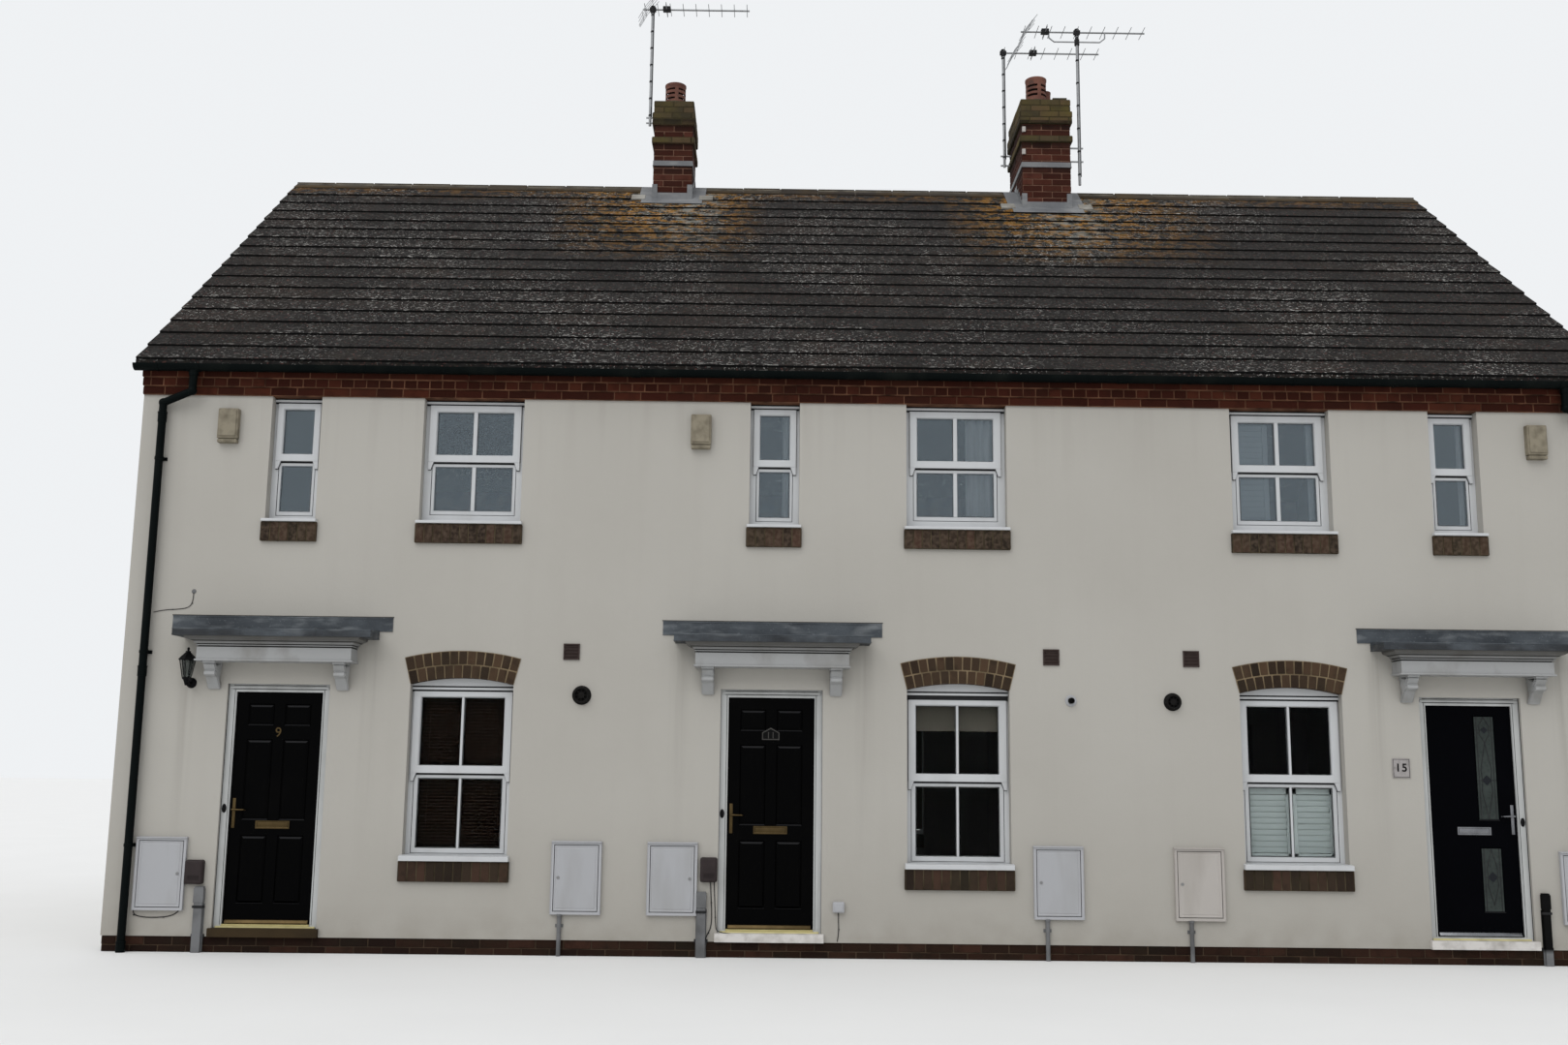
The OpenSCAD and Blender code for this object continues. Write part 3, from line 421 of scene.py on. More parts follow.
# %% Render, plaster and floors
def render_finish(name, clean, grimy):
    wall = Finish(name, clean, 0.92)
    height = wall.axis("Z")
    clouds = wall.noise(0.55, 5).clamp(0.42, 0.72)
    runs = wall.noise(1, 6, stretch=(7, 7, 0.4)).clamp(0.50, 0.80)
    foot = height.clamp(1.3, 0.1)
    under_eaves = height.clamp(4.1, 4.8)
    wall.over(grimy, clouds * 0.35)
    wall.over(grimy, runs * (under_eaves * 0.5 + 0.12))
    wall.over(grimy, foot * (wall.noise(2.6, 5) * 0.8 + 0.2))
    for left, right in STREAKS:
        run = (wall.axis("X") - (left + right) / 2 - TO_FRAME.x).abs().clamp(
            (right - left) / 2, 0) * height.clamp(2.72, 2.60) * height.clamp(0.6, 2.4)
        wall.over((0.20, 0.19, 0.165),
                  run * wall.noise(1, 5, stretch=(16, 16, 0.5)).clamp(0.35, 0.75) * 0.55)
    splash = height.clamp(0.42, 0.13) * wall.noise(4.2, 5).clamp(0.35, 0.7)
    wall.over((0.20, 0.18, 0.14), splash * 0.35)
    wall.over((0.44, 0.43, 0.40), wall.noise(260, 3).clamp(0.6, 0.75) * 0.25)
    return wall.bump(wall.noise(210, 4) + wall.noise(9, 3) * 1.5, 0.0016, 0.8)


# Rain leaves the canopies' ends here, as (from, to) along the row
STREAKS = [(x + sign * 0.80 - 0.10, x + sign * 0.80 + 0.10) for x in DOOR_X for sign in (-1, 1)]
cream_render = render_finish("cream_render", (0.388, 0.373, 0.339), (0.318, 0.300, 0.267))
party_plaster = mottled("party_plaster", (0.55, 0.52, 0.46), (0.42, 0.39, 0.34), 0.95, 2.2, 6,
                        grain=(40, 5, 0.003))
screed = mottled("floor_screed", (0.36, 0.35, 0.33), (0.25, 0.245, 0.23), 0.85, 4, 6,
                 grain=(55, 4, 0.001))

boards = Finish("floor_boards", (0.22, 0.13, 0.065), 0.55)
plank = boards.node("TexBrick", {"offset": 0.37},
                    {"Vector": boards.place, "Scale": 1, "Brick Width": 2.4,
                     "Row Height": 0.14, "Mortar Size": 0.004, "Color1": (0.2, 0.2, 0.2, 1),
                     "Color2": (0.8, 0.8, 0.8, 1), "Mortar": (0, 0, 0, 1)})
figure = boards.noise(14, 6, stretch=(0.25, 3, 1))
boards.over((0.42, 0.29, 0.16), plank * 0.6 + figure * 0.4)

for node in ("front_left_pier", "front_ground_piers", "front_upper_piers", "front_wall_aprons",
             "front_wall_band", "back_wall_piers", "back_wall_aprons", "back_wall_band",
             "left_gable_wall", "right_gable_wall"):
    dress(node, cream_render)
dress("party_walls", party_plaster)
dress("ground_floor", screed)
dress("first_floor", boards)

# %% [markdown]
# Brick is fired clay and no two bricks match. Each brick is a small bevelled block of its
# own that stands a few millimetres out of the solid, and the solid behind it shows as the
# mortar. A number stored on each brick picks its place between dark, common and light clay.

# %% Clay and mortar
def clay(name, dark, common, light, grime, dirt=0.35, soot_and_shadow=()):
    """Bricks of one firing; soot_and_shadow lists the heights that get dark marks under them:
    smoke marks and, under projecting courses, painted shadow.
    """
    brick = Finish(name, dark, 0.9, gloss=0.1)
    shade = brick.attribute("shade")
    blotch = brick.noise(11, 5)
    brick.over(common, shade.clamp(0, 0.5))
    brick.over(light, shade.clamp(0.55, 1))
    brick.over(dark, blotch.clamp(0.5, 0.7) * 0.55)
    brick.over(grime, brick.noise(2.1, 6).clamp(0.45, 0.75) * dirt)
    brick.over(light, brick.noise(130, 2).clamp(0.62, 0.72) * 0.5)
    height = brick.axis("Z")
    for level in soot_and_shadow:
        # Each mark is part soot and, where a course projects above, part painted shadow
        mark = height.clamp(level - 0.13, level) * height.clamp(level + 0.01, level)
        brick.over((0.008, 0.006, 0.005), mark * (brick.noise(9, 5) * 0.8 + 0.35))
    return brick.bump(brick.noise(95, 6) + blotch * 1.5, 0.0035)


def mortar(name, pale, dark):
    return mottled(name, dark, pale, 0.96, 6, 6, span=(0.3, 0.7), grain=(170, 4, 0.0025),
                   gloss=0.1)


eaves_clay = clay("eaves_brick", (0.022, 0.005, 0.0025), (0.034, 0.0078, 0.0043),
                  (0.056, 0.0148, 0.0076), (0.018, 0.008, 0.005), 0.5)
arch_clay = clay("arch_brick", (0.018, 0.012, 0.0085), (0.039, 0.0255, 0.0165),
                 (0.070, 0.042, 0.025), (0.034, 0.030, 0.020), 0.4)
sill_clay = clay("sill_brick", (0.017, 0.012, 0.009), (0.034, 0.023, 0.016),
                 (0.056, 0.030, 0.021), (0.034, 0.031, 0.017), 0.5)
# The upper sills get the rain and bleach
bleached = sill_clay.mix(sill_clay.colour, (0.105, 0.075, 0.054),
                         sill_clay.noise(30, 5).clamp(0.4, 0.65) * 0.5)
sill_clay.over(bleached, sill_clay.axis("Z") > 3)
plinth_clay = clay("plinth_brick", (0.011, 0.0055, 0.004), (0.0215, 0.010, 0.0062),
                   (0.038, 0.017, 0.011), (0.012, 0.012, 0.007), 0.6)
# Under the head, the band and the lead tray the stack gets dark marks: soot and painted shadow
stack_clay = clay("stack_brick", (0.032, 0.0085, 0.0055), (0.050, 0.0150, 0.0092),
                  (0.076, 0.025, 0.0165), (0.030, 0.017, 0.012), 0.35, (8.98, 8.757, 8.475))
eaves_mortar = mortar("eaves_mortar", (0.17, 0.082, 0.048), (0.035, 0.016, 0.010))
stack_mortar = mortar("stack_mortar", (0.20, 0.11, 0.075), (0.09, 0.048, 0.034))
dark_mortar = mortar("dark_mortar", (0.075, 0.050, 0.032), (0.022, 0.016, 0.011))
sandy_mortar = mortar("sandy_mortar", (0.22, 0.165, 0.10), (0.085, 0.064, 0.039))
mossy_mortar = mortar("mossy_mortar", (0.105, 0.082, 0.050), (0.022, 0.017, 0.010))
# On the chimneys the joints of the head and of the band are as mossy as their bricks
height = stack_mortar.axis("Z")
band = height.clamp(8.73, 8.745) * height.clamp(8.865, 8.85)
stack_mortar.over((0.042, 0.034, 0.018), (height.clamp(8.955, 8.97) + band).clamp(0, 1))
for node, joint in (("plinth", dark_mortar), ("eaves_front", eaves_mortar),
                    ("eaves_back", eaves_mortar), ("chimney_stacks", stack_mortar),
                    ("window_arches", sandy_mortar), ("brick_sills", mossy_mortar)):
    dress(node, joint)

# %% [markdown]
# A course is laid along one face of a wall: whole bricks from the start, the last one cut to
# what is left, each pushed in or out by up to a millimetre as a bricklayer would leave it.

# %% Laying bricks
class Bricks:
    """A mesh of many small blocks; every block carries a random shade from 0 to 1."""

    def __init__(self):
        self.bm = bmesh.new()
        self.shade = self.bm.faces.layers.float.new("shade")
        self.count = 0

    def add(self, low, high, matrix=None):
        self.colour(faces_of(block(self.bm, low, high, matrix)))

    def colour(self, faces):
        """Gives the faces of one block their shade."""
        value = random.random()
        for face in faces:
            face[self.shade] = value
        self.count += 1

    def course(self, axis, span, face, sign, z, length, bond=0.0):
        """Lays a course along x (axis 0) or y (axis 1); sign is the outward side of the face."""
        start = span[0] - bond * length
        for i in range(ceil((span[1] - start) / length - 0.01)):
            a = max(start + i * length + MORTAR / 2, span[0])
            b = min(start + (i + 1) * length - MORTAR / 2, span[1])
            if b - a < 0.025:
                continue
            out = face + sign * (0.005 + random.uniform(-0.0012, 0.0012))
            low, high = [0, 0, z[0]], [0, 0, z[1]]
            low[axis], high[axis] = a, b
            low[1 - axis], high[1 - axis] = out, face - sign * 0.05
            self.add(low, high)

    def ring(self, box, reach, z, odd):
        """Lays one course round a stack's four faces."""
        x0, x1, y0, y1 = box
        along = (x0 - reach, x1 + reach)
        into = (y0 - reach, y1 + reach)
        for face, sign in ((into[0], -1), (into[1], 1)):
            self.course(0, along, face, sign, z, BRICK_L, 0.5 * odd)
        for face, sign in ((along[0], -1), (along[1], 1)):
            self.course(1, into, face, sign, z, BRICK_L, 0.5 * (1 - odd))


def bricks_done(name, bricks, finish, slot, width=0.003, **rest):
    bevel(bricks.bm, width, 1)
    print(name, bricks.count, "blocks")
    finish_piece(name, bricks.bm, finish, slot, **rest)


# %% [markdown]
# The plinth shows two courses of dark brick under the render. At the eaves three courses
# step out, a stretcher course, a row of headers and a stretcher course again, and one more
# stands behind the gutter.

# %% Plinth and eaves bricks
plinth_bricks = Bricks()
PLINTH_ROWS = ((0.002, 0.052), (0.060, 0.126))
INSET = 0.012
for row, z in enumerate(PLINTH_ROWS):
    bond = 0.5 * (row % 2)
    for face, sign in ((INSET, -1), (HOUSE_D - INSET, 1)):
        plinth_bricks.course(0, (INSET, ROW_W - INSET), face, sign, z, BRICK_L + MORTAR, bond)
    for face, sign in ((INSET, -1), (ROW_W - INSET, 1)):
        plinth_bricks.course(1, (INSET, HOUSE_D - INSET), face, sign, z, BRICK_L + MORTAR, bond)
bricks_done("plinth_bricks", plinth_bricks, plinth_clay, "brick")

eaves_bricks = Bricks()
EAVES_ROWS = ((4.800, 0.020, BRICK_L + MORTAR, 0.2), (4.875, 0.040, 0.1125, 0.4),
              (4.950, 0.060, BRICK_L + MORTAR, 0.7), (5.025, 0.060, BRICK_L + MORTAR, 0.2))
for foot, reach, length, bond in EAVES_ROWS:
    z = (foot + MORTAR / 2, min(foot + COURSE - MORTAR / 2, 5.056))
    eaves_bricks.course(0, (0, ROW_W), -reach, -1, z, length, bond)
    for face, sign in ((0, -1), (ROW_W, 1)):
        eaves_bricks.course(1, (-reach, WALL_T), face, sign, z, length, 0.5 - bond / 2)
bricks_done("eaves_bricks", eaves_bricks, eaves_clay, "brick", both=True)

# %% [markdown]
# Each ground-floor window has a segmental arch of two rings of bricks on end. The bricks
# are not cut to wedges, so every joint widens towards the top, which turning plain blocks
# about the arch's centre gives by itself. The sills are a row of bricks on end too.

# %% Arches and brick sills
WINDOW_HALF, NARROW_HALF = 0.445, 0.22
SPRING_Z, ARCH_RISE, ARCH_RING = 2.266, 0.056, 0.232
ARCH_R = (WINDOW_HALF ** 2 + ARCH_RISE ** 2) / (2 * ARCH_RISE)
ARCH_Z = SPRING_Z + ARCH_RISE - ARCH_R
ARCH_TURN = asin(WINDOW_HALF / ARCH_R)

arch_bricks = Bricks()
for x in WINDOW_X:
    for inner, count in ((ARCH_R - 0.003, 12), (ARCH_R + ARCH_RING / 2 + 0.002, 13)):
        step = 2 * ARCH_TURN / count
        half = step * inner / 2 - MORTAR / 2
        for i in range(count):
            turn = (Matrix.Translation((x, 0, ARCH_Z))
                    @ Matrix.Rotation(-ARCH_TURN + (i + 0.5) * step, 4, "Y"))
            arch_bricks.add((-half, -0.011 - random.uniform(0, 0.002), inner),
                            (half, 0.07, inner + ARCH_RING / 2 - 0.008), turn)
bricks_done("arch_bricks", arch_bricks, arch_clay, "arch_brick", both=True)

sill_bricks = Bricks()
EAR = 0.02
SILLS = ([(x, WINDOW_HALF, 12, foot) for x, foot in zip(WINDOW_X, (0.598, 0.573, 0.598))]
         + [(x, WINDOW_HALF, 12, 3.496) for x in WINDOW_X]
         + [(x, NARROW_HALF, 6, 3.496) for x in DOOR_X])
for x, half, count, foot in SILLS:
    reach = half + EAR
    sill_bricks.course(0, (x - reach, x + reach), -0.030, -1, (foot + 0.003, foot + 0.166),
                       2 * reach / count)
    for face, sign in ((x - reach, -1), (x + reach, 1)):
        sill_bricks.add((face, -0.031, foot + 0.003), (face + sign * 0.004, 0, foot + 0.166))
bricks_done("sill_bricks", sill_bricks, sill_clay, "sill_brick", both=True)

# %% [markdown]
# The stacks are laid in the same bricks, course by course, with a projecting band and a
# stepped head. Moss and soot cover the heads, so their bricks are laid as a piece with a
# finish of its own.

# %% Chimney bricks
STACKS = ((4.400, 0.440, 0.665, 9.265), (8.720, 0.553, 0.890, 9.300))
HEAD_REACH = {0: 0.0083, 1: 0.0083, 2: 0.025, 3: 0.025, 6: 0.025}
TRAY_Z = 8.470
shaft_bricks, head_bricks = Bricks(), Bricks()
for centre, width, depth, top in STACKS:
    box = (centre - width / 2, centre + width / 2, RIDGE_Y - depth / 2, RIDGE_Y + depth / 2)
    for k in range(19):
        z = (top - (k + 1) * COURSE + MORTAR / 2, top - k * COURSE - MORTAR / 2)
        laid = head_bricks if k < 4 or k == 6 else shaft_bricks
        laid.ring(box, HEAD_REACH.get(k, 0), z, k % 2)
mossy_clay = clay("mossy_brick", (0.036, 0.030, 0.018), (0.058, 0.045, 0.025),
                  (0.082, 0.054, 0.030), (0.112, 0.088, 0.022), 0.9, (9.03,))
bricks_done("shaft_bricks", shaft_bricks, stack_clay, "brick")
bricks_done("head_bricks", head_bricks, mossy_clay, "brick", 0.004)

# %% [markdown]
# The roof has seventeen courses of flat concrete tiles. Every tile is a thin slab laid on
# the slope and tipped a little, so that its lower edge stands proud of the course below and
# throws the dark line that one sees from the street. Half tiles start every second course.
# That edge looks down, away from the sky, and its shade is painted: its faces carry a shade
# below zero, which the finish paints black.

# %% Roof tiles
PITCH = radians(39)
TILE_Z, EAVES_REACH, VERGE = 5.200, 0.140, 0.040
GAUGE, TILE_W, TILE_ROWS = 0.2945, 0.330, 17
TIP, TILE_T = -0.064, 0.020


def tile_at(y):
    """Height of the tiled slope over a distance y from the wall face."""
    return TILE_Z + y * tan(PITCH)


def on_slope(x, s, turn=0.0):
    """Place on the front slope: x along the row, s up the slope from the eaves."""
    return (Matrix.Translation((x, -EAVES_REACH, tile_at(-EAVES_REACH)))
            @ Matrix.Rotation(PITCH, 4, "X") @ Matrix.Translation((0, s, 0))
            @ Matrix.Rotation(turn, 4, "X"))


def up_slope(y):
    """Distance up the slope that belongs to a distance y from the wall face."""
    return (y + EAVES_REACH) / cos(PITCH)


def in_stack(left, right, s):
    """Says whether a tile lies wholly under a stack."""
    return any(left > centre - width / 2 - 0.02 and right < centre + width / 2 + 0.02
               and s > up_slope(RIDGE_Y - depth / 2) - 0.06
               for centre, width, depth, _ in STACKS)


roof_tiles = Bricks()
for row in range(TILE_ROWS):
    s = row * GAUGE
    drift = random.uniform(-0.003, 0.003)
    for i in range(-1, 42):
        left = max(-VERGE - 0.004, -VERGE + (i + 0.5 * (row % 2)) * TILE_W)
        right = min(ROW_W + VERGE + 0.004, -VERGE + (i + 1 + 0.5 * (row % 2)) * TILE_W)
        if right - left < 0.04 or in_stack(left, right, s):
            continue
        place = on_slope(0, s + drift + random.uniform(-0.001, 0.001),
                         TIP + random.uniform(-0.001, 0.001))
        roof_tiles.add((left + 0.0006, 0, 0.003), (right - 0.0006, GAUGE + 0.035, 0.003 + TILE_T),
                       place)
        # The face of the tile just laid that looks down the slope gets the painted shade of its
        # edge
        for face in roof_tiles.bm.faces[-6:]:
            if face.normal.dot(Vector((0, -cos(PITCH), -sin(PITCH)))) > 0.9:
                face[roof_tiles.shade] = -1

lichened = Finish("lichened_tiles", (0.0155, 0.0143, 0.0137), 0.95, gloss=0.1)
near = []
for (centre, *_), left, right in zip(STACKS, (1.35, 1.25), (1.1, 1.9)):
    off = lichened.axis("X") - (centre + TO_FRAME.x)
    near.append((off * -1).clamp(left, 0.25) * off.clamp(right, 0.3))
near_stacks = near[0] + near[1]
height = lichened.axis("Z")
high_up = height.clamp(6.75, 7.7)
up_a_tile = ((height - tile_at(-EAVES_REACH)) * (1 / (GAUGE * sin(PITCH)))).fraction()
near_edge = up_a_tile.clamp(0.42, 0.12)
shade = lichened.attribute("shade")
lichened.over((0.0215, 0.0197, 0.0187), shade)
lichened.over((0.008, 0.0072, 0.0066), lichened.noise(24, 6).clamp(0.5, 0.64) * 0.8)
lichened.over((0.036, 0.026, 0.020), lichened.noise(1.3, 5).clamp(0.5, 0.75) * 0.4)
orange = lichened.noise(13, 6, stretch=(0.7, 1, 1)).clamp(0.485, 0.55) * (
    near_stacks * high_up * 0.95 + height.clamp(8.0, 8.3) * 0.4)
lichened.over((0.25, 0.118, 0.020), orange)
moss = lichened.noise(16, 6, seed=4).clamp(0.53, 0.64) * (near_stacks * high_up * 0.7 + 0.06)
lichened.over((0.048, 0.044, 0.014), moss)
fields = lichened.noise(0.9, 3).clamp(0.42, 0.64) * 0.7 + near_stacks * high_up * 0.35 + 0.13
dashes = lichened.noise(17, 4, stretch=(1, 2.1, 2.1), seed=9).clamp(0.59, 0.625)
dots = lichened.noise(44, 2, seed=5).clamp(0.63, 0.665)
specks = (dashes * (near_edge * 0.6 + 0.2) + dots * 0.8) * fields
lichened.over((0.44, 0.43, 0.40), specks.clamp(0, 1))
lichened.over((0.10, 0.042, 0.036), lichened.noise(40, 2, seed=12).clamp(0.64, 0.68) * 0.6)
tufts = lichened.noise(34, 4, seed=7).clamp(0.56, 0.64) * (
    near_edge * 0.85 + near_stacks * high_up * 0.9)
lichened.over((0.007, 0.0065, 0.005), tufts.clamp(0, 1))
left_wash, right_wash = ((lichened.axis("X") - (centre + 0.42 * width + TO_FRAME.x))
                         .abs().clamp(0.5, 0.1) for centre, width, *_ in STACKS)
pale = (left_wash + right_wash) * height.clamp(6.9, 7.7)
pale = pale * lichened.noise(9, 6, seed=2).clamp(0.47, 0.60)
lichened.over((0.20, 0.20, 0.18), pale * 0.8)
# Painted shade: the tiles' lower edges, whose faces carry a shade below zero, go nearly black
lichened.over((0.005, 0.005, 0.005), shade.clamp(-0.1, -0.8))
lichened.bump(lichened.noise(90, 6) + specks * 0.6, 0.003)
bricks_done("roof_tiles", roof_tiles, lichened, "tiles", 0.0018, both=True)
for node in ("roof_front", "roof_back"):
    dress(node, lichened)

# %% [markdown]
# Angled ridge tiles lie in mortar along the top, 450 mm each. Each is one bent strip with a
# rounded back, drawn as an outline and pushed along the row; a small step in height from
# tile to tile keeps the line from looking ruled.

# %% Ridge tiles
RIDGE_UNIT, SKIRT, LEG = 0.45, 0.155, 0.15
ridge, joints = Bricks(), Bricks()
stops = [-VERGE] + [c + sign * (w / 2 + SKIRT) for c, w, *_ in STACKS for sign in (-1, 1)]
stops.append(ROW_W + VERGE)


def bent_strip(bricks, x0, x1, leg, low, thick):
    """Adds a strip bent over the ridge, from x0 to x1."""
    y, z = leg * cos(PITCH), leg * sin(PITCH)
    top = tile_at(RIDGE_Y) + low
    rise = thick / cos(PITCH)
    points = [(x0, RIDGE_Y - y, top - z), (x0, RIDGE_Y, top), (x0, RIDGE_Y + y, top - z),
              (x0, RIDGE_Y + y, top - z + rise * 0.7), (x0, RIDGE_Y, top + rise),
              (x0, RIDGE_Y - y, top - z + rise * 0.7)]
    before = set(bricks.bm.faces)
    outline(bricks.bm, points, (x1 - x0, 0, 0))
    bricks.colour(set(bricks.bm.faces) - before)


for start, end in zip(stops[::2], stops[1::2]):
    count = round((end - start) / RIDGE_UNIT)
    unit = (end - start) / count
    for i in range(count):
        bent_strip(ridge, start + i * unit + 0.004, start + (i + 1) * unit - 0.004,
                   LEG + random.uniform(-0.004, 0.004), 0.012 + random.uniform(-0.002, 0.003),
                   0.018)
    bent_strip(joints, start + 0.01, end - 0.01, LEG - 0.008, -0.004, 0.020)
ridge_clay = clay("ridge_clay", (0.026, 0.021, 0.017), (0.042, 0.036, 0.029),
                  (0.060, 0.046, 0.030), (0.085, 0.050, 0.014), 0.6)
bricks_done("ridge_tiles_laid", ridge, ridge_clay, "tiles", 0.004, stands_for=("ridge_tiles",))
pale_mortar = mortar("ridge_mortar", (0.13, 0.115, 0.09), (0.045, 0.040, 0.034))
bricks_done("ridge_bedding", joints, pale_mortar, "tiles", 0.002)

# %% [markdown]
# Lead keeps the water out where a stack meets the roof: an apron dressed over the tiles in
# front, stepped pieces up the sides and a tray whose edge shows as a grey line round the
# shaft. Lead weathers to a mottled blue grey with pale bloom.

# %% Lead on the chimneys
def lead_finish(name, low, high, bloom, drip=None):
    """Grey lead with pale bloom; under the height drip it is wet and nearly black."""
    lead = Finish(name, low, 0.55, gloss=0.25)
    patch = lead.noise(3.2, 6).clamp(0.3, 0.7)
    lead.over(high, patch)
    lead.over(bloom, lead.noise(7, 6, stretch=(0.5, 1, 1.6), seed=2).clamp(0.52, 0.72) * 0.6)
    lead.over(bloom, lead.noise(70, 3).clamp(0.64, 0.7) * 0.4)
    if drip:
        wet = lead.axis("Z").clamp(drip, drip - 0.02)
        lead.over((0.014, 0.015, 0.017),
                  wet * lead.noise(5, 5, stretch=(0.6, 1, 1), seed=6).clamp(0.35, 0.6) * 0.8)
    lead.feed(Roughness=patch * 0.25 + 0.45)
    return lead.bump(lead.noise(6, 5) + lead.noise(45, 4) * 0.3, 0.006)


roof_lead = lead_finish("weathered_lead", (0.115, 0.12, 0.128), (0.18, 0.185, 0.19),
                        (0.28, 0.28, 0.27))
lead, fillets = bmesh.new(), bmesh.new()
LEAD_T, LEAD_STEP = 0.003, 0.094
for centre, width, depth, _ in STACKS:
    front = RIDGE_Y - depth / 2
    s0 = up_slope(front)
    # Apron on the tiles and its upstand on the brick
    block(lead, (centre - width / 2 - 0.13, -0.15, 0.024),
          (centre + width / 2 + 0.13, 0.01, 0.024 + LEAD_T), on_slope(0, s0))
    block(lead, (centre - width / 2 - 0.012, front - 0.010, tile_at(front) - 0.01),
          (centre + width / 2 + 0.012, front - 0.006, tile_at(front) + 0.10))
    for sign in (-1, 1):
        side = centre + sign * (width / 2 + 0.007)
        block(lead, (side - sign * 0.01, 0, 0.025),
              (side + sign * SKIRT, up_slope(RIDGE_Y) - s0 + 0.01, 0.025 + LEAD_T),
              on_slope(0, s0))
        for i in range(ceil((RIDGE_Y - front) / LEAD_STEP)):
            y = front - 0.01 + i * LEAD_STEP
            z = tile_at(y)
            block(lead, (side, y, z), (side + sign * LEAD_T, min(y + 0.1, RIDGE_Y), z + 0.15))
        # A corner piece is folded round the brick at each end of the apron
        block(lead, (side - sign * 0.055, front - 0.013, tile_at(front) - 0.01),
              (side + sign * 0.006, front - 0.008, tile_at(front) + 0.20))
        # A fillet of mortar lies beside the apron
        block(fillets, (centre + sign * (width / 2 + 0.09), -0.02, 0.010),
              (centre + sign * (width / 2 + 0.25), 0.13, 0.034), on_slope(0, s0))
    # The tray's edge round the shaft
    for grow, foot, high in ((0.010, TRAY_Z, 0.060), (0.014, TRAY_Z - 0.003, 0.010)):
        block(lead, (centre - width / 2 - grow, front - grow, foot),
              (centre + width / 2 + grow, RIDGE_Y, foot + high))
bevel(lead, 0.0012, 1)
bevel(fillets, 0.006, 2)
finish_piece("chimney_lead_work", lead, roof_lead, "lead", both=True,
             stands_for=("chimney_lead",))
fillet_mortar = mortar("fillet_mortar", (0.34, 0.33, 0.30), (0.15, 0.14, 0.12))
finish_piece("mortar_fillets", fillets, fillet_mortar, "lead", both=True)

# %% [markdown]
# A louvred pot is turned clay with three rings of slots under its cap. A profile is spun
# into a tube, the faces where the slots are go away, and thickness is given to the rest, so
# that one can see into it. Mortar is heaped round the foot of each pot.

# %% Chimney pots
pot_clay = mottled("pot_terracotta", (0.095, 0.032, 0.020), (0.155, 0.060, 0.038), 0.85, 7, 5,
                   span=(0.35, 0.65), grain=(60, 5, 0.003))
pot_clay.over((0.040, 0.026, 0.020), pot_clay.noise(15, 6, seed=3).clamp(0.5, 0.72) * 0.75)
pots = bmesh.new()


def spun_pot(x, y, z, radius, high, rings):
    """Adds a pot; rings are the heights of its slots as shares of the height."""
    bm = bmesh.new()
    levels = sorted({0.0, 0.06, 0.88, 0.93, 1.0} | {r + d for r in rings for d in (0, 0.09)})
    points = []
    for level in levels:
        swell = 0.95 if 0.06 <= level <= 0.88 else 1.0
        points.append(bm.verts.new((radius * swell, 0, level * high)))
    edges = [bm.edges.new(pair) for pair in zip(points, points[1:])]
    bmesh.ops.spin(bm, geom=points + edges, axis=(0, 0, 1), cent=(0, 0, 0),
                   angle=2 * pi, steps=36, use_merge=True)
    slots = []
    for face in bm.faces:
        c = face.calc_center_median()
        level = c.z / high
        sector = int((atan2(c.y, c.x) / (2 * pi) + 1) * 36) % 9
        if any(r < level < r + 0.09 for r in rings) and sector not in (0, 1):
            slots.append(face)
    bmesh.ops.delete(bm, geom=slots, context="FACES")
    outwards(bm)
    bmesh.ops.solidify(bm, geom=bm.faces[:], thickness=radius * 0.14)
    outwards(bm)
    merge(pots, bm, (x, y, z))


# Place, radius, height and rings of slots of each pot
POTS = ((4.400, 3.6925, 9.265, 0.125, 0.270, (0.26, 0.47, 0.68)),
        (8.645, 3.5800, 9.300, 0.125, 0.320, (0.28, 0.46, 0.64)),
        (8.795, 3.8000, 9.300, 0.065, 0.270, ()))
for pot in POTS:
    spun_pot(*pot)
finish_piece("louvred_pots", pots, pot_clay, "pots", stands_for=("chimney_pots",), smooth=True)
# Inside each louvred pot stands the sooty flue, so the slots show black
liners = bmesh.new()
for x, y, z, _, high, rings in POTS:
    if rings:
        rod(liners, x, y, (z + 0.02, z + high - 0.02), 0.092, 24, 0.086)
bevel(liners, 0.004, 1)
soot_black = mottled("soot_black", (0.004, 0.004, 0.004), (0.012, 0.010, 0.008), 0.95, 30, 4,
                     gloss=0.1)
finish_piece("flue_liners", liners, soot_black, "pots")

heaped = bmesh.new()
for x, y, z, radius, *_ in POTS:
    bmesh.ops.create_cone(heaped, cap_ends=True, segments=24, radius1=radius + 0.07,
                          radius2=radius - 0.004, depth=0.045,
                          matrix=Matrix.Translation((x, y, z + 0.0195)))
block(heaped, (8.810, 3.435, 9.300), (8.980, 3.665, 9.345))
for v in heaped.verts:
    v.co += Vector((random.uniform(-1, 1), random.uniform(-1, 1), 0)) * 0.004
bevel(heaped, 0.004, 2)
pot_mortar = mortar("pot_mortar", (0.10, 0.085, 0.055), (0.04, 0.036, 0.024))
finish_piece("heaped_mortar", heaped, pot_mortar, "pots")
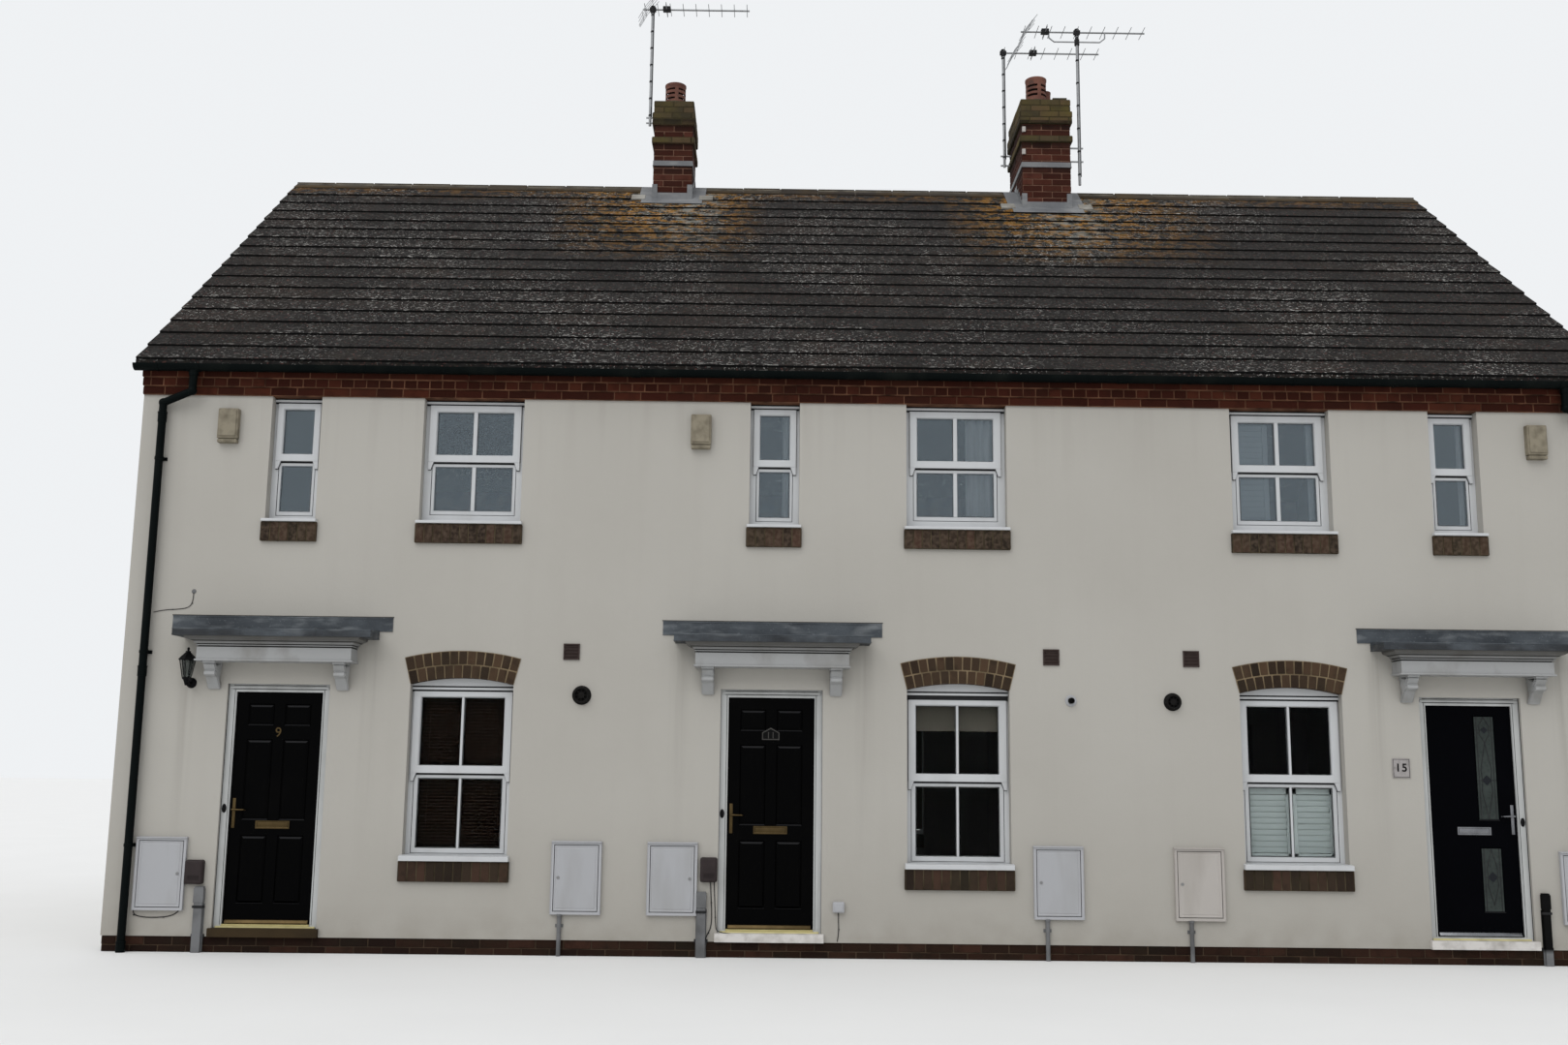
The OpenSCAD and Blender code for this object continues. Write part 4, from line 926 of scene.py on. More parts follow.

# %% [markdown]
# The windows look like sliding sashes: a box frame, an upper sash that stands forward with
# small horns under its meeting rail, and a lower sash set back behind it. A mitred frame is
# made from a block: its front is inset and sunk step by step, then front and back are opened
# and their rims bridged, which leaves one closed moulded ring. A few millimetres stay open
# round each sash, because that dark line is what makes it look like one that slides; dark
# strips behind the gaps, round the horns and under the meeting rail paint their shadow.

# %% Joinery
def mitred_frame(bm, x, z, y, width, bead=0.009, sunk=0.010):
    """Adds a closed moulded ring; x, z and y are its outside limits, width its face as one
    number or as (side, foot, head)."""
    side, foot, head = width if isinstance(width, tuple) else (width,) * 3
    inner_x, inner_z = (x[0] + side, x[1] - side), (z[0] + foot, z[1] - head)
    centre = ((x[0] + x[1]) / 2, (z[0] + z[1]) / 2)
    verts = block(bm, *zip(x, y, z))
    front = front_of(verts)
    back = max(faces_of(verts), key=lambda f: f.calc_center_median().y)
    for face, grow, depth in ((front, bead, 0), (front, 0, -sunk), (back, 0, 0)):
        bmesh.ops.inset_individual(bm, faces=[face], thickness=0.0005, depth=depth)
        for v in face.verts:
            v.co.x = inner_x[0] - grow if v.co.x < centre[0] else inner_x[1] + grow
            v.co.z = inner_z[0] - grow if v.co.z < centre[1] else inner_z[1] + grow
    rims = front.edges[:] + back.edges[:]
    bmesh.ops.delete(bm, geom=[front, back], context="FACES_ONLY")
    bmesh.ops.bridge_loops(bm, edges=rims)


# A kind of window: half width, panes across, frame beside and under the glass, bar, height
# of a pane, then how much of the outer box shows beside the upper sash, how much more beside
# the narrower lower sash, and how much under it
Kind = namedtuple("Kind", "half columns side foot bar pane box step cill")
GROUND = Kind(WINDOW_HALF, 2, 0.085, 0.056, 0.024, 0.584, 0.018, 0.024, 0.006)
UPPER = Kind(WINDOW_HALF, 2, 0.105, 0.107, 0.038, 0.388, 0.038, 0.030, 0.062)
NARROW = Kind(NARROW_HALF, 1, 0.088, 0.082, 0.0, 0.404, 0.030, 0.026, 0.038)
MEET, MEET_RAIL, PROUD_RAIL, HORN = 0.112, 0.066, 0.032, 0.070
SASH_GAP = 0.005
seals_and_shadow_strips = bmesh.new()


def window_sashes(bm, x, kind, sill, sash_top, head):
    """Adds box frame, both sashes, bars and horns of a window to a mesh, and to
    seals_and_shadow_strips the dark strips that paint the shadow in the gaps between them."""
    low = sill + kind.foot
    high = low + kind.pane
    rail = high + MEET
    top = rail + kind.pane
    left, right, inner = x - kind.half, x + kind.half, kind.box + kind.step
    mitred_frame(bm, (left, right), (sill, head), (0.102, 0.150), (inner, kind.cill, 0.010),
                 0.003, 0.002)
    block(bm, (left + 0.002, 0.140, top + 0.004), (right - 0.002, 0.149, head - 0.001))
    inset, foot, rail_z = inner + SASH_GAP, sill + kind.cill + SASH_GAP, rail - MEET_RAIL
    mitred_frame(bm, (left + inset, right - inset), (foot, high + PROUD_RAIL), (0.106, 0.138),
                 (kind.side - inset, low - foot, PROUD_RAIL), 0.007, 0.008)
    mitred_frame(bm, (left + kind.box, right - kind.box), (rail_z, sash_top), (0.078, 0.124),
                 (kind.side - kind.box, MEET_RAIL, sash_top - top), 0.009, 0.012)
    for sign in (-1, 1):
        edge = x + sign * (kind.half - kind.box)
        horn = [(0, 0), (0, -HORN), (0.024, -HORN), (0.028, -HORN + 0.014), (0.044, -0.012),
                (0.048, 0)]
        outline(bm, [(edge - sign * a, 0.080, rail_z + b) for a, b in horn], (0, 0.024, 0))
        # Painted shadow, as dark outlines: round the horn, beside the upper sash and beside the
        # lower one
        outline(seals_and_shadow_strips, [(edge - sign * (a * 1.12 - 0.001), 0.0985, rail_z + b * 1.07)
                        for a, b in horn], (0, 0.005, 0))
        for a, b, y, z in ((edge - sign * 0.002, edge + sign * 0.004, 0.098, (rail_z, sash_top)),
                           (x + sign * (kind.half - inner + 0.001),
                            x + sign * (kind.half - inset - 0.001), 0.108, (foot, rail_z))):
            block(seals_and_shadow_strips, (a, y, z[0]), (b, y + 0.006, z[1]))
    # A dark strip under the meeting rail paints the shadow in its gap
    block(seals_and_shadow_strips, (left + inner, 0.100, high + PROUD_RAIL - 0.002),
          (right - inner, 0.118, rail_z + 0.002))
    for i in range(1, kind.columns):
        bar_x, bar = x - kind.half + i * 2 * kind.half / kind.columns, kind.bar / 2 - 0.002
        for z, y in (((low - 0.004, high + 0.004), 0.103), ((rail - 0.004, top + 0.004), 0.084)):
            across(bm, bar_x, bar, (y, y + 0.024), z)
    bevel(bm, 0.0016, 1)


def white_sill(bm, x, half, top, thick):
    """Adds a projecting sill whose top falls to the front and whose ears run past."""
    front = block(bm, (x - half - EAR, -0.055, top - thick), (x + half + EAR, 0, top))
    shed_rain(front, 0.008)
    bevel(bm, 0.004, 2, [e for e in edges_of(front) if min(w.co.y for w in e.verts) < -0.05])
    across(bm, x, half, (-0.012, 0.150), (top - thick + 0.001, top - 0.0008))


rubber_and_shadow = mottled("dark_rubber_and_painted_shadow", (0.018, 0.018, 0.019), (0.007, 0.007, 0.0075), 0.7, 30, 4,
                 gloss=0.2)
white = mottled("white_frame_plastic", (0.49, 0.502, 0.512), (0.36, 0.362, 0.36), 0.35,
                1, 5, (6, 6, 1.5), span=(0.5, 0.8), share=0.45, grain=(120, 2, 0.0004))
white.feed(Roughness=white.noise(30, 4) * 0.25 + 0.25)

GROUND_SILLS, UPPER_SILL = (0.820, 0.795, 0.820), 3.700
GROUND_HEAD, UPPER_HEAD = 2.262, 4.800
GROUND_WINDOWS = [(x, GROUND, sill) for x, sill in zip(WINDOW_X, GROUND_SILLS)]
UPPER_WINDOWS = ([(x, UPPER, UPPER_SILL) for x in WINDOW_X]
                 + [(x, NARROW, UPPER_SILL) for x in DOOR_X])


def arched_panel(bm, x, foot, y, inset):
    """Adds the white panel that fills the head of an arch."""
    arch = bmesh.new()
    bmesh.ops.create_circle(arch, cap_ends=True, segments=240, radius=ARCH_R - inset,
                            matrix=Matrix.Translation((x, y[0], ARCH_Z))
                            @ Matrix.Rotation(radians(90), 4, "X"))
    for co, no in (((0, 0, foot), (0, 0, -1)), ((x + WINDOW_HALF - inset, 0, 0), (1, 0, 0)),
                   ((x - WINDOW_HALF + inset, 0, 0), (-1, 0, 0))):
        bmesh.ops.bisect_plane(arch, geom=whole(arch), plane_co=co, plane_no=no,
                               clear_outer=True)
        bmesh.ops.holes_fill(arch, edges=arch.edges[:])
    pushed = bmesh.ops.extrude_face_region(arch, geom=arch.faces[:], use_keep_orig=True)
    bmesh.ops.translate(arch, vec=(0, y[1] - y[0], 0), verts=verts_in(pushed["geom"]))
    outwards(arch)
    merge(bm, arch)


ground = bmesh.new()
for x, kind, sill in GROUND_WINDOWS:
    made = bmesh.new()
    top = sill + kind.foot + 2 * kind.pane + MEET
    window_sashes(made, x, kind, sill, top + 0.050, GROUND_HEAD)
    arched_panel(made, x, 2.254, (0.074, 0.150), 0.002)
    # Over the sash runs a small moulding between two gaps; a dark strip behind them paints their
    # shadow
    across(made, x, WINDOW_HALF - 0.002, (0.068, 0.120), (2.221, 2.240))
    across(seals_and_shadow_strips, x, WINDOW_HALF - 0.003, (0.084, 0.120), (top + 0.048, 2.257))
    white_sill(made, x, WINDOW_HALF, sill, 0.050)
    merge(ground, made)
finish_piece("ground_sashes", ground, white, "white_frame", both=True,
             stands_for=("ground_windows",))

upper = bmesh.new()
for x, kind, sill in UPPER_WINDOWS:
    made = bmesh.new()
    window_sashes(made, x, kind, sill, 4.755, UPPER_HEAD)
    across(made, x, kind.half - 0.002, (0.066, 0.120), (4.766, 4.784))
    # A dark strip behind the moulding over the sash paints the shadow of its gaps
    across(seals_and_shadow_strips, x, kind.half - 0.003, (0.082, 0.120), (4.753, 4.799))
    white_sill(made, x, kind.half, sill, 0.032)
    merge(upper, made)
finish_piece("upper_sashes", upper, white, "white_frame", both=True,
             stands_for=("upper_windows",))
finish_piece("sash_shadow_strips", seals_and_shadow_strips, rubber_and_shadow, "gutter", both=True)

# %% [markdown]
# Sealed panes are two sheets of glass with a grey spacer between. Real glass mirrors the
# sky at a low angle and lets the dark room show when one looks straight in; the index of
# refraction sets how much. The upper panes' reflections get a bluish tint, a painted sky.

# %% Glass
def glass(name, ior, tint, painted_sky_tint=(1, 1, 1)):
    # The specular tint paints a sky colour into the reflection when painted_sky_tint is not white
    pane = Finish(name, tint, 0.0, Transmission_Weight=1.0, IOR=ior,
                  Specular_Tint=(*painted_sky_tint, 1))
    return pane.feed(Roughness=pane.noise(2, 3).clamp(0.7, 1.0) * 0.02)


def panes(x, kind, sill):
    """Lists the openings of a window as (x from, x to, z from, z to)."""
    width = (2 * (kind.half - kind.side) - (kind.columns - 1) * kind.bar) / kind.columns
    low = sill + kind.foot
    found = []
    for z in (low, low + kind.pane + MEET):
        for i in range(kind.columns):
            left = x - kind.half + kind.side + i * (width + kind.bar)
            found.append((left, left + width, z, z + kind.pane))
    return found


spacers = bmesh.new()
for name, windows, finish in (
        ("ground_panes", GROUND_WINDOWS, glass("clear_glass", 1.06, (0.965, 0.985, 0.98))),
        ("upper_panes", UPPER_WINDOWS, glass("sky_glass", 1.50, (0.94, 0.965, 0.98),
                                             (0.78, 0.91, 1.0)))):
    bm = bmesh.new()
    for x0, x1, z0, z1 in [p for window in windows for p in panes(*window)]:
        for y in (0.104, 0.121):
            block(bm, (x0 - 0.004, y, z0 - 0.004), (x1 + 0.004, y + 0.004, z1 + 0.004))
        mitred_frame(spacers, (x0 - 0.003, x1 + 0.003), (z0 - 0.003, z1 + 0.003),
                     (0.1085, 0.1205), 0.008, 0.001, 0.001)
    finish_piece(name, bm, finish, "glass", both=True, stands_for=("window_glass",))
grey_spacer = Finish("grey_spacer", (0.05, 0.05, 0.052), 0.5)
grey_spacer.feed(Roughness=grey_spacer.noise(40) * 0.3 + 0.35)
finish_piece("pane_spacers", spacers, grey_spacer, "glass", both=True)

# %% [markdown]
# Behind the front windows each house keeps its own blinds: thin wooden slats on the left, a
# half-drawn roller blind in the middle and white shutters on the right. Upstairs there are
# curtains and shutters. The back windows have plain roller blinds. They hang close behind
# the glass, on the wall's inner face.

# %% Blinds, shutters and curtains
blind_wood = mottled("blind_wood", (0.008, 0.0035, 0.0018), (0.003, 0.0014, 0.0008), 0.8,
                     9, 5, (0.3, 1, 3), gloss=0.02)
SLAT = 0.028
# Painted highlight: a lighter band on each slat stands for the light on its edge
slat_highlight = ((blind_wood.axis("Z") - 0.83) * (1 / SLAT)).fraction().clamp(0.6, 0.9)
blind_wood.over((0.026, 0.013, 0.008), slat_highlight * 0.8)
shutter_white = mottled("shutter_white", (0.53, 0.56, 0.56), (0.44, 0.47, 0.47), 0.5, 3, 3)
shutter_white.over((0.21, 0.235, 0.25), shutter_white.axis("Z") > 3)
blind_cloth = mottled("blind_cloth", (0.095, 0.080, 0.062), (0.065, 0.054, 0.042), 0.9,
                      60, 4, (1, 1, 8), grain=(400, 2, 0.0004))
curtain_cloth = mottled("curtain_cloth", (0.72, 0.74, 0.75), (0.42, 0.44, 0.46), 0.9,
                        11, 4, (2, 2, 0.2))


def slatted(bm, x, z, y, pitch, depth, tilt, thick=0.003):
    """Adds level slats, each turned by tilt about its own length."""
    count = round((z[1] - z[0]) / pitch)
    pitch = (z[1] - z[0]) / count
    for i in range(count):
        place = (Matrix.Translation(((x[0] + x[1]) / 2, y, z[0] + (i + 0.5) * pitch))
                 @ Matrix.Rotation(tilt, 4, "X"))
        half = (x[1] - x[0]) / 2
        block(bm, (-half, -depth / 2, -thick / 2), (half, depth / 2, thick / 2), place)


def shutter(bm, x, z, y, pitch):
    """Adds a hinged shutter panel: two stiles, two rails and louvres."""
    for a, b in (((x[0], z[0]), (x[0] + 0.044, z[1])), ((x[1] - 0.044, z[0]), (x[1], z[1])),
                 ((x[0], z[0]), (x[1], z[0] + 0.06)), ((x[0], z[1] - 0.05), (x[1], z[1]))):
        block(bm, (a[0], y - 0.013, a[1]), (b[0], y + 0.013, b[1]))
    slatted(bm, (x[0] + 0.044, x[1] - 0.044), (z[0] + 0.065, z[1] - 0.055), y, pitch,
            pitch * 0.98, radians(-68), 0.007)


wooden = bmesh.new()
x = WINDOW_X[0]
slatted(wooden, (x - 0.40, x + 0.40), (0.83, 2.23), 0.205, SLAT, SLAT, radians(-80), 0.0025)
across(wooden, x, 0.405, (0.185, 0.225), (2.23, 2.25))
for cord_x in (-0.30, 0, 0.30):
    rod(wooden, x + cord_x, 0.191, (0.86, 2.23), 0.0012, 6)
finish_piece("wooden_blind", wooden, blind_wood, "timber_floor")

shutters = bmesh.new()
x = WINDOW_X[2]
for left, right in ((-0.40, 0.022), (0.024, 0.40)):
    shutter(shutters, (x + left, x + right), (0.84, 1.455), 0.180, 0.052)
for left, right in ((-0.40, -0.06), (0.29, 0.40)):
    shutter(shutters, (x + left, x + right), (3.73, 4.74), 0.175, 0.049)
bevel(shutters, 0.0012, 1)
finish_piece("window_shutters", shutters, shutter_white, "white_frame")

cloths = bmesh.new()
x = WINDOW_X[1]
across(cloths, x, 0.40, (0.183, 0.185), (1.93, 2.25))
across(cloths, x, 0.40, (0.179, 0.189), (1.915, 1.935))
rod(cloths, (x - 0.41, x + 0.41), 0.20, 2.23, 0.02)
back_y = HOUSE_D - 0.200
for x, kind, sill in GROUND_WINDOWS + UPPER_WINDOWS:
    half, foot, head = kind.half, sill + 0.02, sill + kind.foot + 2 * kind.pane + MEET + 0.04
    across(cloths, x, half - 0.02, (back_y, back_y + 0.002), (foot, head))
    across(cloths, x, half - 0.02, (back_y - 0.004, back_y + 0.006), (foot, foot + 0.02))
    rod(cloths, (x - half + 0.01, x + half - 0.01), back_y - 0.012, head, 0.019)
finish_piece("roller_blinds", cloths, blind_cloth, "party")


def curtain(bm, x, z, y, folds):
    """Adds a gathered curtain: a strip subdivided across, its columns pushed in waves."""
    strip = bmesh.new()
    bmesh.ops.create_grid(strip, x_segments=folds * 8, y_segments=6, size=0.5)
    for v in strip.verts:
        wave = sin((v.co.x + 0.5) * folds * 2 * pi)
        v.co = Vector((x[0] + (v.co.x + 0.5) * (x[1] - x[0]), y + 0.018 * wave,
                       z[0] + (v.co.y + 0.5) * (z[1] - z[0])))
    bmesh.ops.solidify(strip, geom=strip.faces[:], thickness=0.002)
    outwards(strip)
    merge(bm, strip)


drapes = bmesh.new()
for x, left, right, folds in ((WINDOW_X[1], 0.10, 0.41, 4), (DOOR_X[1], 0.07, 0.19, 2),
                              (DOOR_X[2], 0.09, 0.19, 2)):
    curtain(drapes, (x + left, x + right), (3.72, 4.76), 0.172, folds)
finish_piece("curtains", drapes, curtain_cloth, "party", smooth=True)

# %% [markdown]
# The left and middle doors are six-panelled and painted black; the right one is a flush
# dark blue leaf with two tall lights of patterned glass. A panel is made by cutting the leaf
# with planes and then insetting and sinking the face between the cuts, which gives the
# moulded edge; a second inset raises the middle of the panel again.

# %% Doors
LEAF_HALF, LEAF_Z, LEAF_Y = 0.3795, (0.233, 2.189), (0.064, 0.108)
SIX = [((a, b), z) for a, b in ((0.145, 0.440), (0.560, 0.855))
       for z in ((0.085, 0.375), (0.440, 0.790), (0.850, 0.945))]
LIGHTS = [((0.56, 0.81), (0.10, 0.38)), ((0.56, 0.81), (0.495, 0.955))]


def leaf_cuts(bm, x, listed):
    """Cuts a leaf at the edges of its panels and returns (panel limits) in row places."""
    limits = []
    for (a, b), (low, high) in listed:
        px = [x - LEAF_HALF + s * 2 * LEAF_HALF for s in (a, b)]
        pz = [LEAF_Z[0] + s * (LEAF_Z[1] - LEAF_Z[0]) for s in (low, high)]
        limits.append((px, pz))
        for co, no in (((px[0], 0, 0), (1, 0, 0)), ((px[1], 0, 0), (1, 0, 0)),
                       ((0, 0, pz[0]), (0, 0, 1)), ((0, 0, pz[1]), (0, 0, 1))):
            bmesh.ops.bisect_plane(bm, geom=whole(bm), plane_co=co, plane_no=no)
    return limits


def panel_faces(bm, limits, side):
    """Joins what the cuts left of each panel on one side of the leaf and returns the faces."""
    found = []
    for px, pz in limits:
        inside = [f for f in bm.faces
                  if f.normal.y * side > 0.9
                  and px[0] < f.calc_center_median().x < px[1]
                  and pz[0] < f.calc_center_median().z < pz[1]]
        if len(inside) > 1:
            inside = bmesh.ops.dissolve_faces(bm, faces=inside)["region"]
        found += inside
    return found


def panelled_leaf(x, listed, raised):
    """Makes a leaf with sunk panels; faces that look up carry a lit_ledge value for a painted
    highlight.
    """
    bm = bmesh.new()
    lit_ledge = bm.faces.layers.float.new("lit_ledge")
    across(bm, x, LEAF_HALF, LEAF_Y, LEAF_Z)
    bevel(bm, 0.0015, 1)
    limits = leaf_cuts(bm, x, listed)
    for side in (-1, 1):
        for face in panel_faces(bm, limits, side):
            sink(bm, face, (0.001, 0.003), (0.012, -0.010), (0.004, 0))
            if raised:
                sink(bm, face, (0.022, 0.006))
    bm.normal_update()
    for face in bm.faces:
        face[lit_ledge] = 0.2 < face.normal.z < 0.9
    return bm, limits


def paint(name, colour, worn, rough, gloss=0.05):
    coat = Finish(name, colour, rough, gloss=gloss)
    coat.over(worn, coat.noise(3, 5).clamp(0.5, 0.8) * 0.5)
    # Painted highlight: faces that look up, marked lit_ledge, turn grey as if they caught the sky
    coat.over((0.017, 0.017, 0.018), coat.attribute("lit_ledge"))
    coat.feed(Roughness=coat.noise(8, 4) * 0.25 + rough - 0.1)
    return coat.bump(coat.noise(26, 5, stretch=(4, 4, 0.35)), 0.0006)


black_paint = paint("black_door_paint", (0.0008, 0.0008, 0.0009), (0.002, 0.0019, 0.0018), 0.34,
                    0.025)
navy_paint = paint("navy_door_paint", (0.0010, 0.0011, 0.0018), (0.0018, 0.0019, 0.0028), 0.38,
                   0.015)
for house, x in zip(("left", "middle"), DOOR_X):
    bm, limits = panelled_leaf(x, SIX, True)
    finish_piece(f"{house}_door_leaf", bm, black_paint, "black_paint", f"{house}_entry",
                 (f"{house}_front_door",))
bm, limits = panelled_leaf(DOOR_X[2], LIGHTS, False)
finish_piece("right_door_leaf", bm, navy_paint, "navy_paint", "right_entry",
             ("right_front_door",))

# The patterned lights: obscure glass, lead cames and coloured diamonds
obscure = Finish("obscure_glass", (0.03, 0.035, 0.033), 0.3, gloss=0.06)
ripple = obscure.cells(30)
obscure.feed(Base_Color=obscure.mix((0.013, 0.016, 0.015), (0.056, 0.068, 0.063),
                                    obscure.noise(3, 3) * 0.7 + ripple * 0.25),
             Roughness=ripple * 0.2 + 0.2)
obscure.bump(ripple, 0.002)
light_glass, cames, jewels = bmesh.new(), bmesh.new(), bmesh.new()
CAME_R = 0.003
for (px, pz), diamonds in zip(limits, (((0.54, 0.044),), ((0.38, 0.044), (0.86, 0.031)))):
    cx, tall = sum(px) / 2, pz[1] - pz[0]
    for y in (LEAF_Y[0] + 0.0045, LEAF_Y[1] - 0.0075):
        block(light_glass, (px[0] + 0.012, y, pz[0] + 0.012),
              (px[1] - 0.012, y + 0.003, pz[1] - 0.012))
    y = LEAF_Y[0] + 0.0035
    for share, size in diamonds:
        z = pz[0] + share * tall
        rod(jewels, cx, (y - 0.001, y + 0.0025), z, size, 4)
        reach = min(z - pz[0], pz[1] - z) - 0.016
        for sign in (-1, 1):
            # A drop of two long curves closes round each diamond
            curve = [(0, reach), (0.024, 0.62 * reach), (0.046, 0.28 * reach), (0.036, 0.0),
                     (0.046, -0.28 * reach), (0.024, -0.62 * reach), (0, -reach)]
            for a, b in zip(curve, curve[1:]):
                tube(cames, (cx + sign * a[0], y, z + a[1]), (cx + sign * b[0], y, z + b[1]),
                     CAME_R, 6)
            tube(cames, (cx + sign * 0.034, y, z), (cx + sign * (px[1] - cx - 0.014), y, z),
                 CAME_R, 6)
    for sign in (-1, 1):
        edge = cx + sign * (px[1] - cx - 0.030)
        rod(cames, edge, y, (pz[0] + 0.014, pz[1] - 0.014), CAME_R, 6)
finish_piece("right_door_lights", light_glass, obscure, "glass", "right_entry")
came_lead = lead_finish("came_lead", (0.010, 0.010, 0.011), (0.018, 0.018, 0.020),
                        (0.04, 0.04, 0.04))
finish_piece("right_door_cames", cames, came_lead, "lead", "right_entry")
dark_glass = mottled("dark_glass", (0.003, 0.004, 0.006), (0.006, 0.008, 0.012), 0.12, 40,
                     gloss=0.2)
finish_piece("right_door_jewels", jewels, dark_glass, "glass", "right_entry")

# The back doors: white leaves with a glazed upper half and a panel below
back_leaves, back_lights = bmesh.new(), bmesh.new()
for x in DOOR_X:
    mitred_frame(back_leaves, (x - 0.384, x + 0.384), (0.229, 2.194), (0.063, 0.108), 0.105)
    across(back_leaves, x, 0.30, (0.066, 0.104), (1.02, 1.13))
    panel = across(back_leaves, x, 0.29, (0.082, 0.098), (0.32, 1.03))
    sink(back_leaves, front_of(panel), (0.05, 0), (0.012, 0.008))
    across(back_lights, x, 0.285, (0.084, 0.090), (1.125, 2.095))
    block(back_leaves, (x - 0.350, 0.056, 1.05), (x - 0.322, 0.064, 1.27))
    rod(back_leaves, x - 0.336, (0.056, 0.022), 1.18, 0.008)
    rod(back_leaves, (x - 0.340, x - 0.225), 0.024, 1.18, 0.008)
for made in (back_leaves, back_lights):
    to_back(made, whole(made))
bevel(back_leaves, 0.0015, 1)
finish_piece("back_door_leaves", back_leaves, white, "back_door", stands_for=("back_doors",))
finish_piece("back_door_lights", back_lights, obscure, "glass")

# %% [markdown]
# Door furniture: a letter plate with its flap, a lever on a long slim backplate inside and
# out, a weather bar at the foot, a bell on the jamb and a brass nosing on the threshold.
# The numbers are plain figures: text is turned into a mesh first and then set in place.

# %% Door furniture
def metal(name, low, high, rough, scratch=60):
    plate = mottled(name, low, high, rough, 12, 5, Metallic=1.0)
    wear = plate.noise(scratch, 5, stretch=(1, 1, 0.2))
    return plate.feed(Roughness=wear * 0.3 + rough - 0.12).bump(wear, 0.0002)


brass = metal("worn_brass", (0.038, 0.027, 0.013), (0.110, 0.076, 0.034), 0.34)
chrome = metal("dull_chrome", (0.11, 0.112, 0.12), (0.26, 0.265, 0.28), 0.26)
HANDLE_IN = 0.042
FURNITURE = (("left", DOOR_X[0], -1, brass, "brass", 1.180, 1.022),
             ("middle", DOOR_X[1], -1, brass, "brass", 1.180, 1.022),
             ("right", DOOR_X[2], 1, chrome, "chrome", 1.240, 1.079))


def lever_handle(bm, x, z, face, out, turn):
    """Adds backplate, neck and a lever that turns down at its end."""
    plate = across(bm, x, 0.014, (face - out * 0.001, face + out * 0.006), (z - 0.155, z + 0.095))
    bevel(bm, 0.003, 2, edges_of(plate))
    rod(bm, x, (face, face + out * 0.014), z, 0.0125, 20, 0.010)
    rod(bm, x, (face + out * 0.010, face + out * 0.043), z, 0.0075, 16)
    tip = (x + turn * 0.096, face + out * 0.040, z - 0.002)
    tube(bm, (x - turn * 0.008, face + out * 0.038, z), tip, 0.0085, 16, 0.0065)
    tube(bm, tip, (tip[0] + turn * 0.010, tip[1] - out * 0.012, tip[2] - 0.002), 0.0065, 16, 0.005)
    for dz in (-0.143, 0.083):
        rod(bm, x, (face + out * 0.004, face + out * 0.0075), z + dz, 0.004, 10)
    rod(bm, x, (face + out * 0.004, face + out * 0.009), z - 0.085, 0.008, 16)


for house, x, free, finish, slot, handle_z, letter_z in FURNITURE:
    fittings = bmesh.new()
    y = LEAF_Y[0]
    mitred_frame(fittings, (x - 0.145, x + 0.145), (letter_z, letter_z + 0.066),
                 (y - 0.009, y + 0.001), 0.013, 0.004, 0.003)
    flap = across(fittings, x, 0.130, (y - 0.006, y), (letter_z + 0.0135, letter_z + 0.0525))
    bevel(fittings, 0.0015, 2, edges_of(flap))
    rail = bmesh.new()
    outline(rail, [(x - 0.352, y, 0.233), (x - 0.352, y - 0.022, 0.233),
                   (x - 0.352, y - 0.022, 0.241), (x - 0.352, y - 0.008, 0.262),
                   (x - 0.352, y, 0.267)], (0.704, 0, 0))
    bevel(rail, 0.002, 2)
    merge(fittings, rail)
    handle_x = x + free * (LEAF_HALF - HANDLE_IN)
    lever_handle(fittings, handle_x, handle_z, y, -1, -free)
    lever_handle(fittings, handle_x, handle_z, LEAF_Y[1], 1, -free)
    finish_piece(f"{house}_door_furniture", fittings, finish, slot, f"{house}_entry",
                 (f"{house}_door_fittings",), smooth=True)


def numeral(text, size, centre, depth=0.003, bold=0.0):
    """A figure as a mesh, upright and facing the street; bold widens its strokes."""
    curve = bpy.data.curves.new("numeral", "FONT")
    curve.body, curve.size, curve.extrude = text, size, depth / 2
    curve.align_x, curve.align_y = "CENTER", "CENTER"
    curve.offset = bold
    made = bmesh.new()
    draw_into(made, curve)
    bmesh.ops.remove_doubles(made, verts=made.verts[:], dist=1e-6)
    outwards(made)
    bmesh.ops.transform(made, verts=made.verts[:], matrix=Matrix.Translation(centre)
                        @ Matrix.Rotation(radians(90), 4, "X"))
    return made


nine = numeral("9", 0.115, (DOOR_X[0], LEAF_Y[0] - 0.0025, 1.835))
finish_piece("left_number", nine, brass, "brass", "left_entry")

plate = bmesh.new()
x, y, z = DOOR_X[1] - 0.005, LEAF_Y[0], 1.865
for made, grow, front in ((plate, 0, 0.0035), (bmesh.new(), -0.009, 0.0050)):
    w, h = 0.075 + grow, 0.045 + grow
    outline(made, [(x - w, y, z - h), (x + w, y, z - h), (x + w, y, z + h * 0.4),
                   (x, y, z + h * 1.35), (x - w, y, z + h * 0.4)], (0, -front, 0))
merge(plate, numeral("11", 0.080, (x, y - 0.0060, z - 0.008)))
number_black = paint("number_plate_black", (0.004, 0.004, 0.004), (0.012, 0.011, 0.010), 0.4)
number_grey = metal("number_grey", (0.035, 0.034, 0.032), (0.085, 0.082, 0.075), 0.4)
finish_piece("middle_number", plate, number_grey, "brass", "middle_entry")
finish_piece("middle_number_field", made, number_black, "brass", "middle_entry")

# %% [markdown]
# The door frames stay as the solids are, in white plastic, and get their dark weather seals,
# a drip bar over the head with painted shadow lines under and over it, the bell and the
# nosing. The left sill is brown stone, the other two were painted white and have worn.

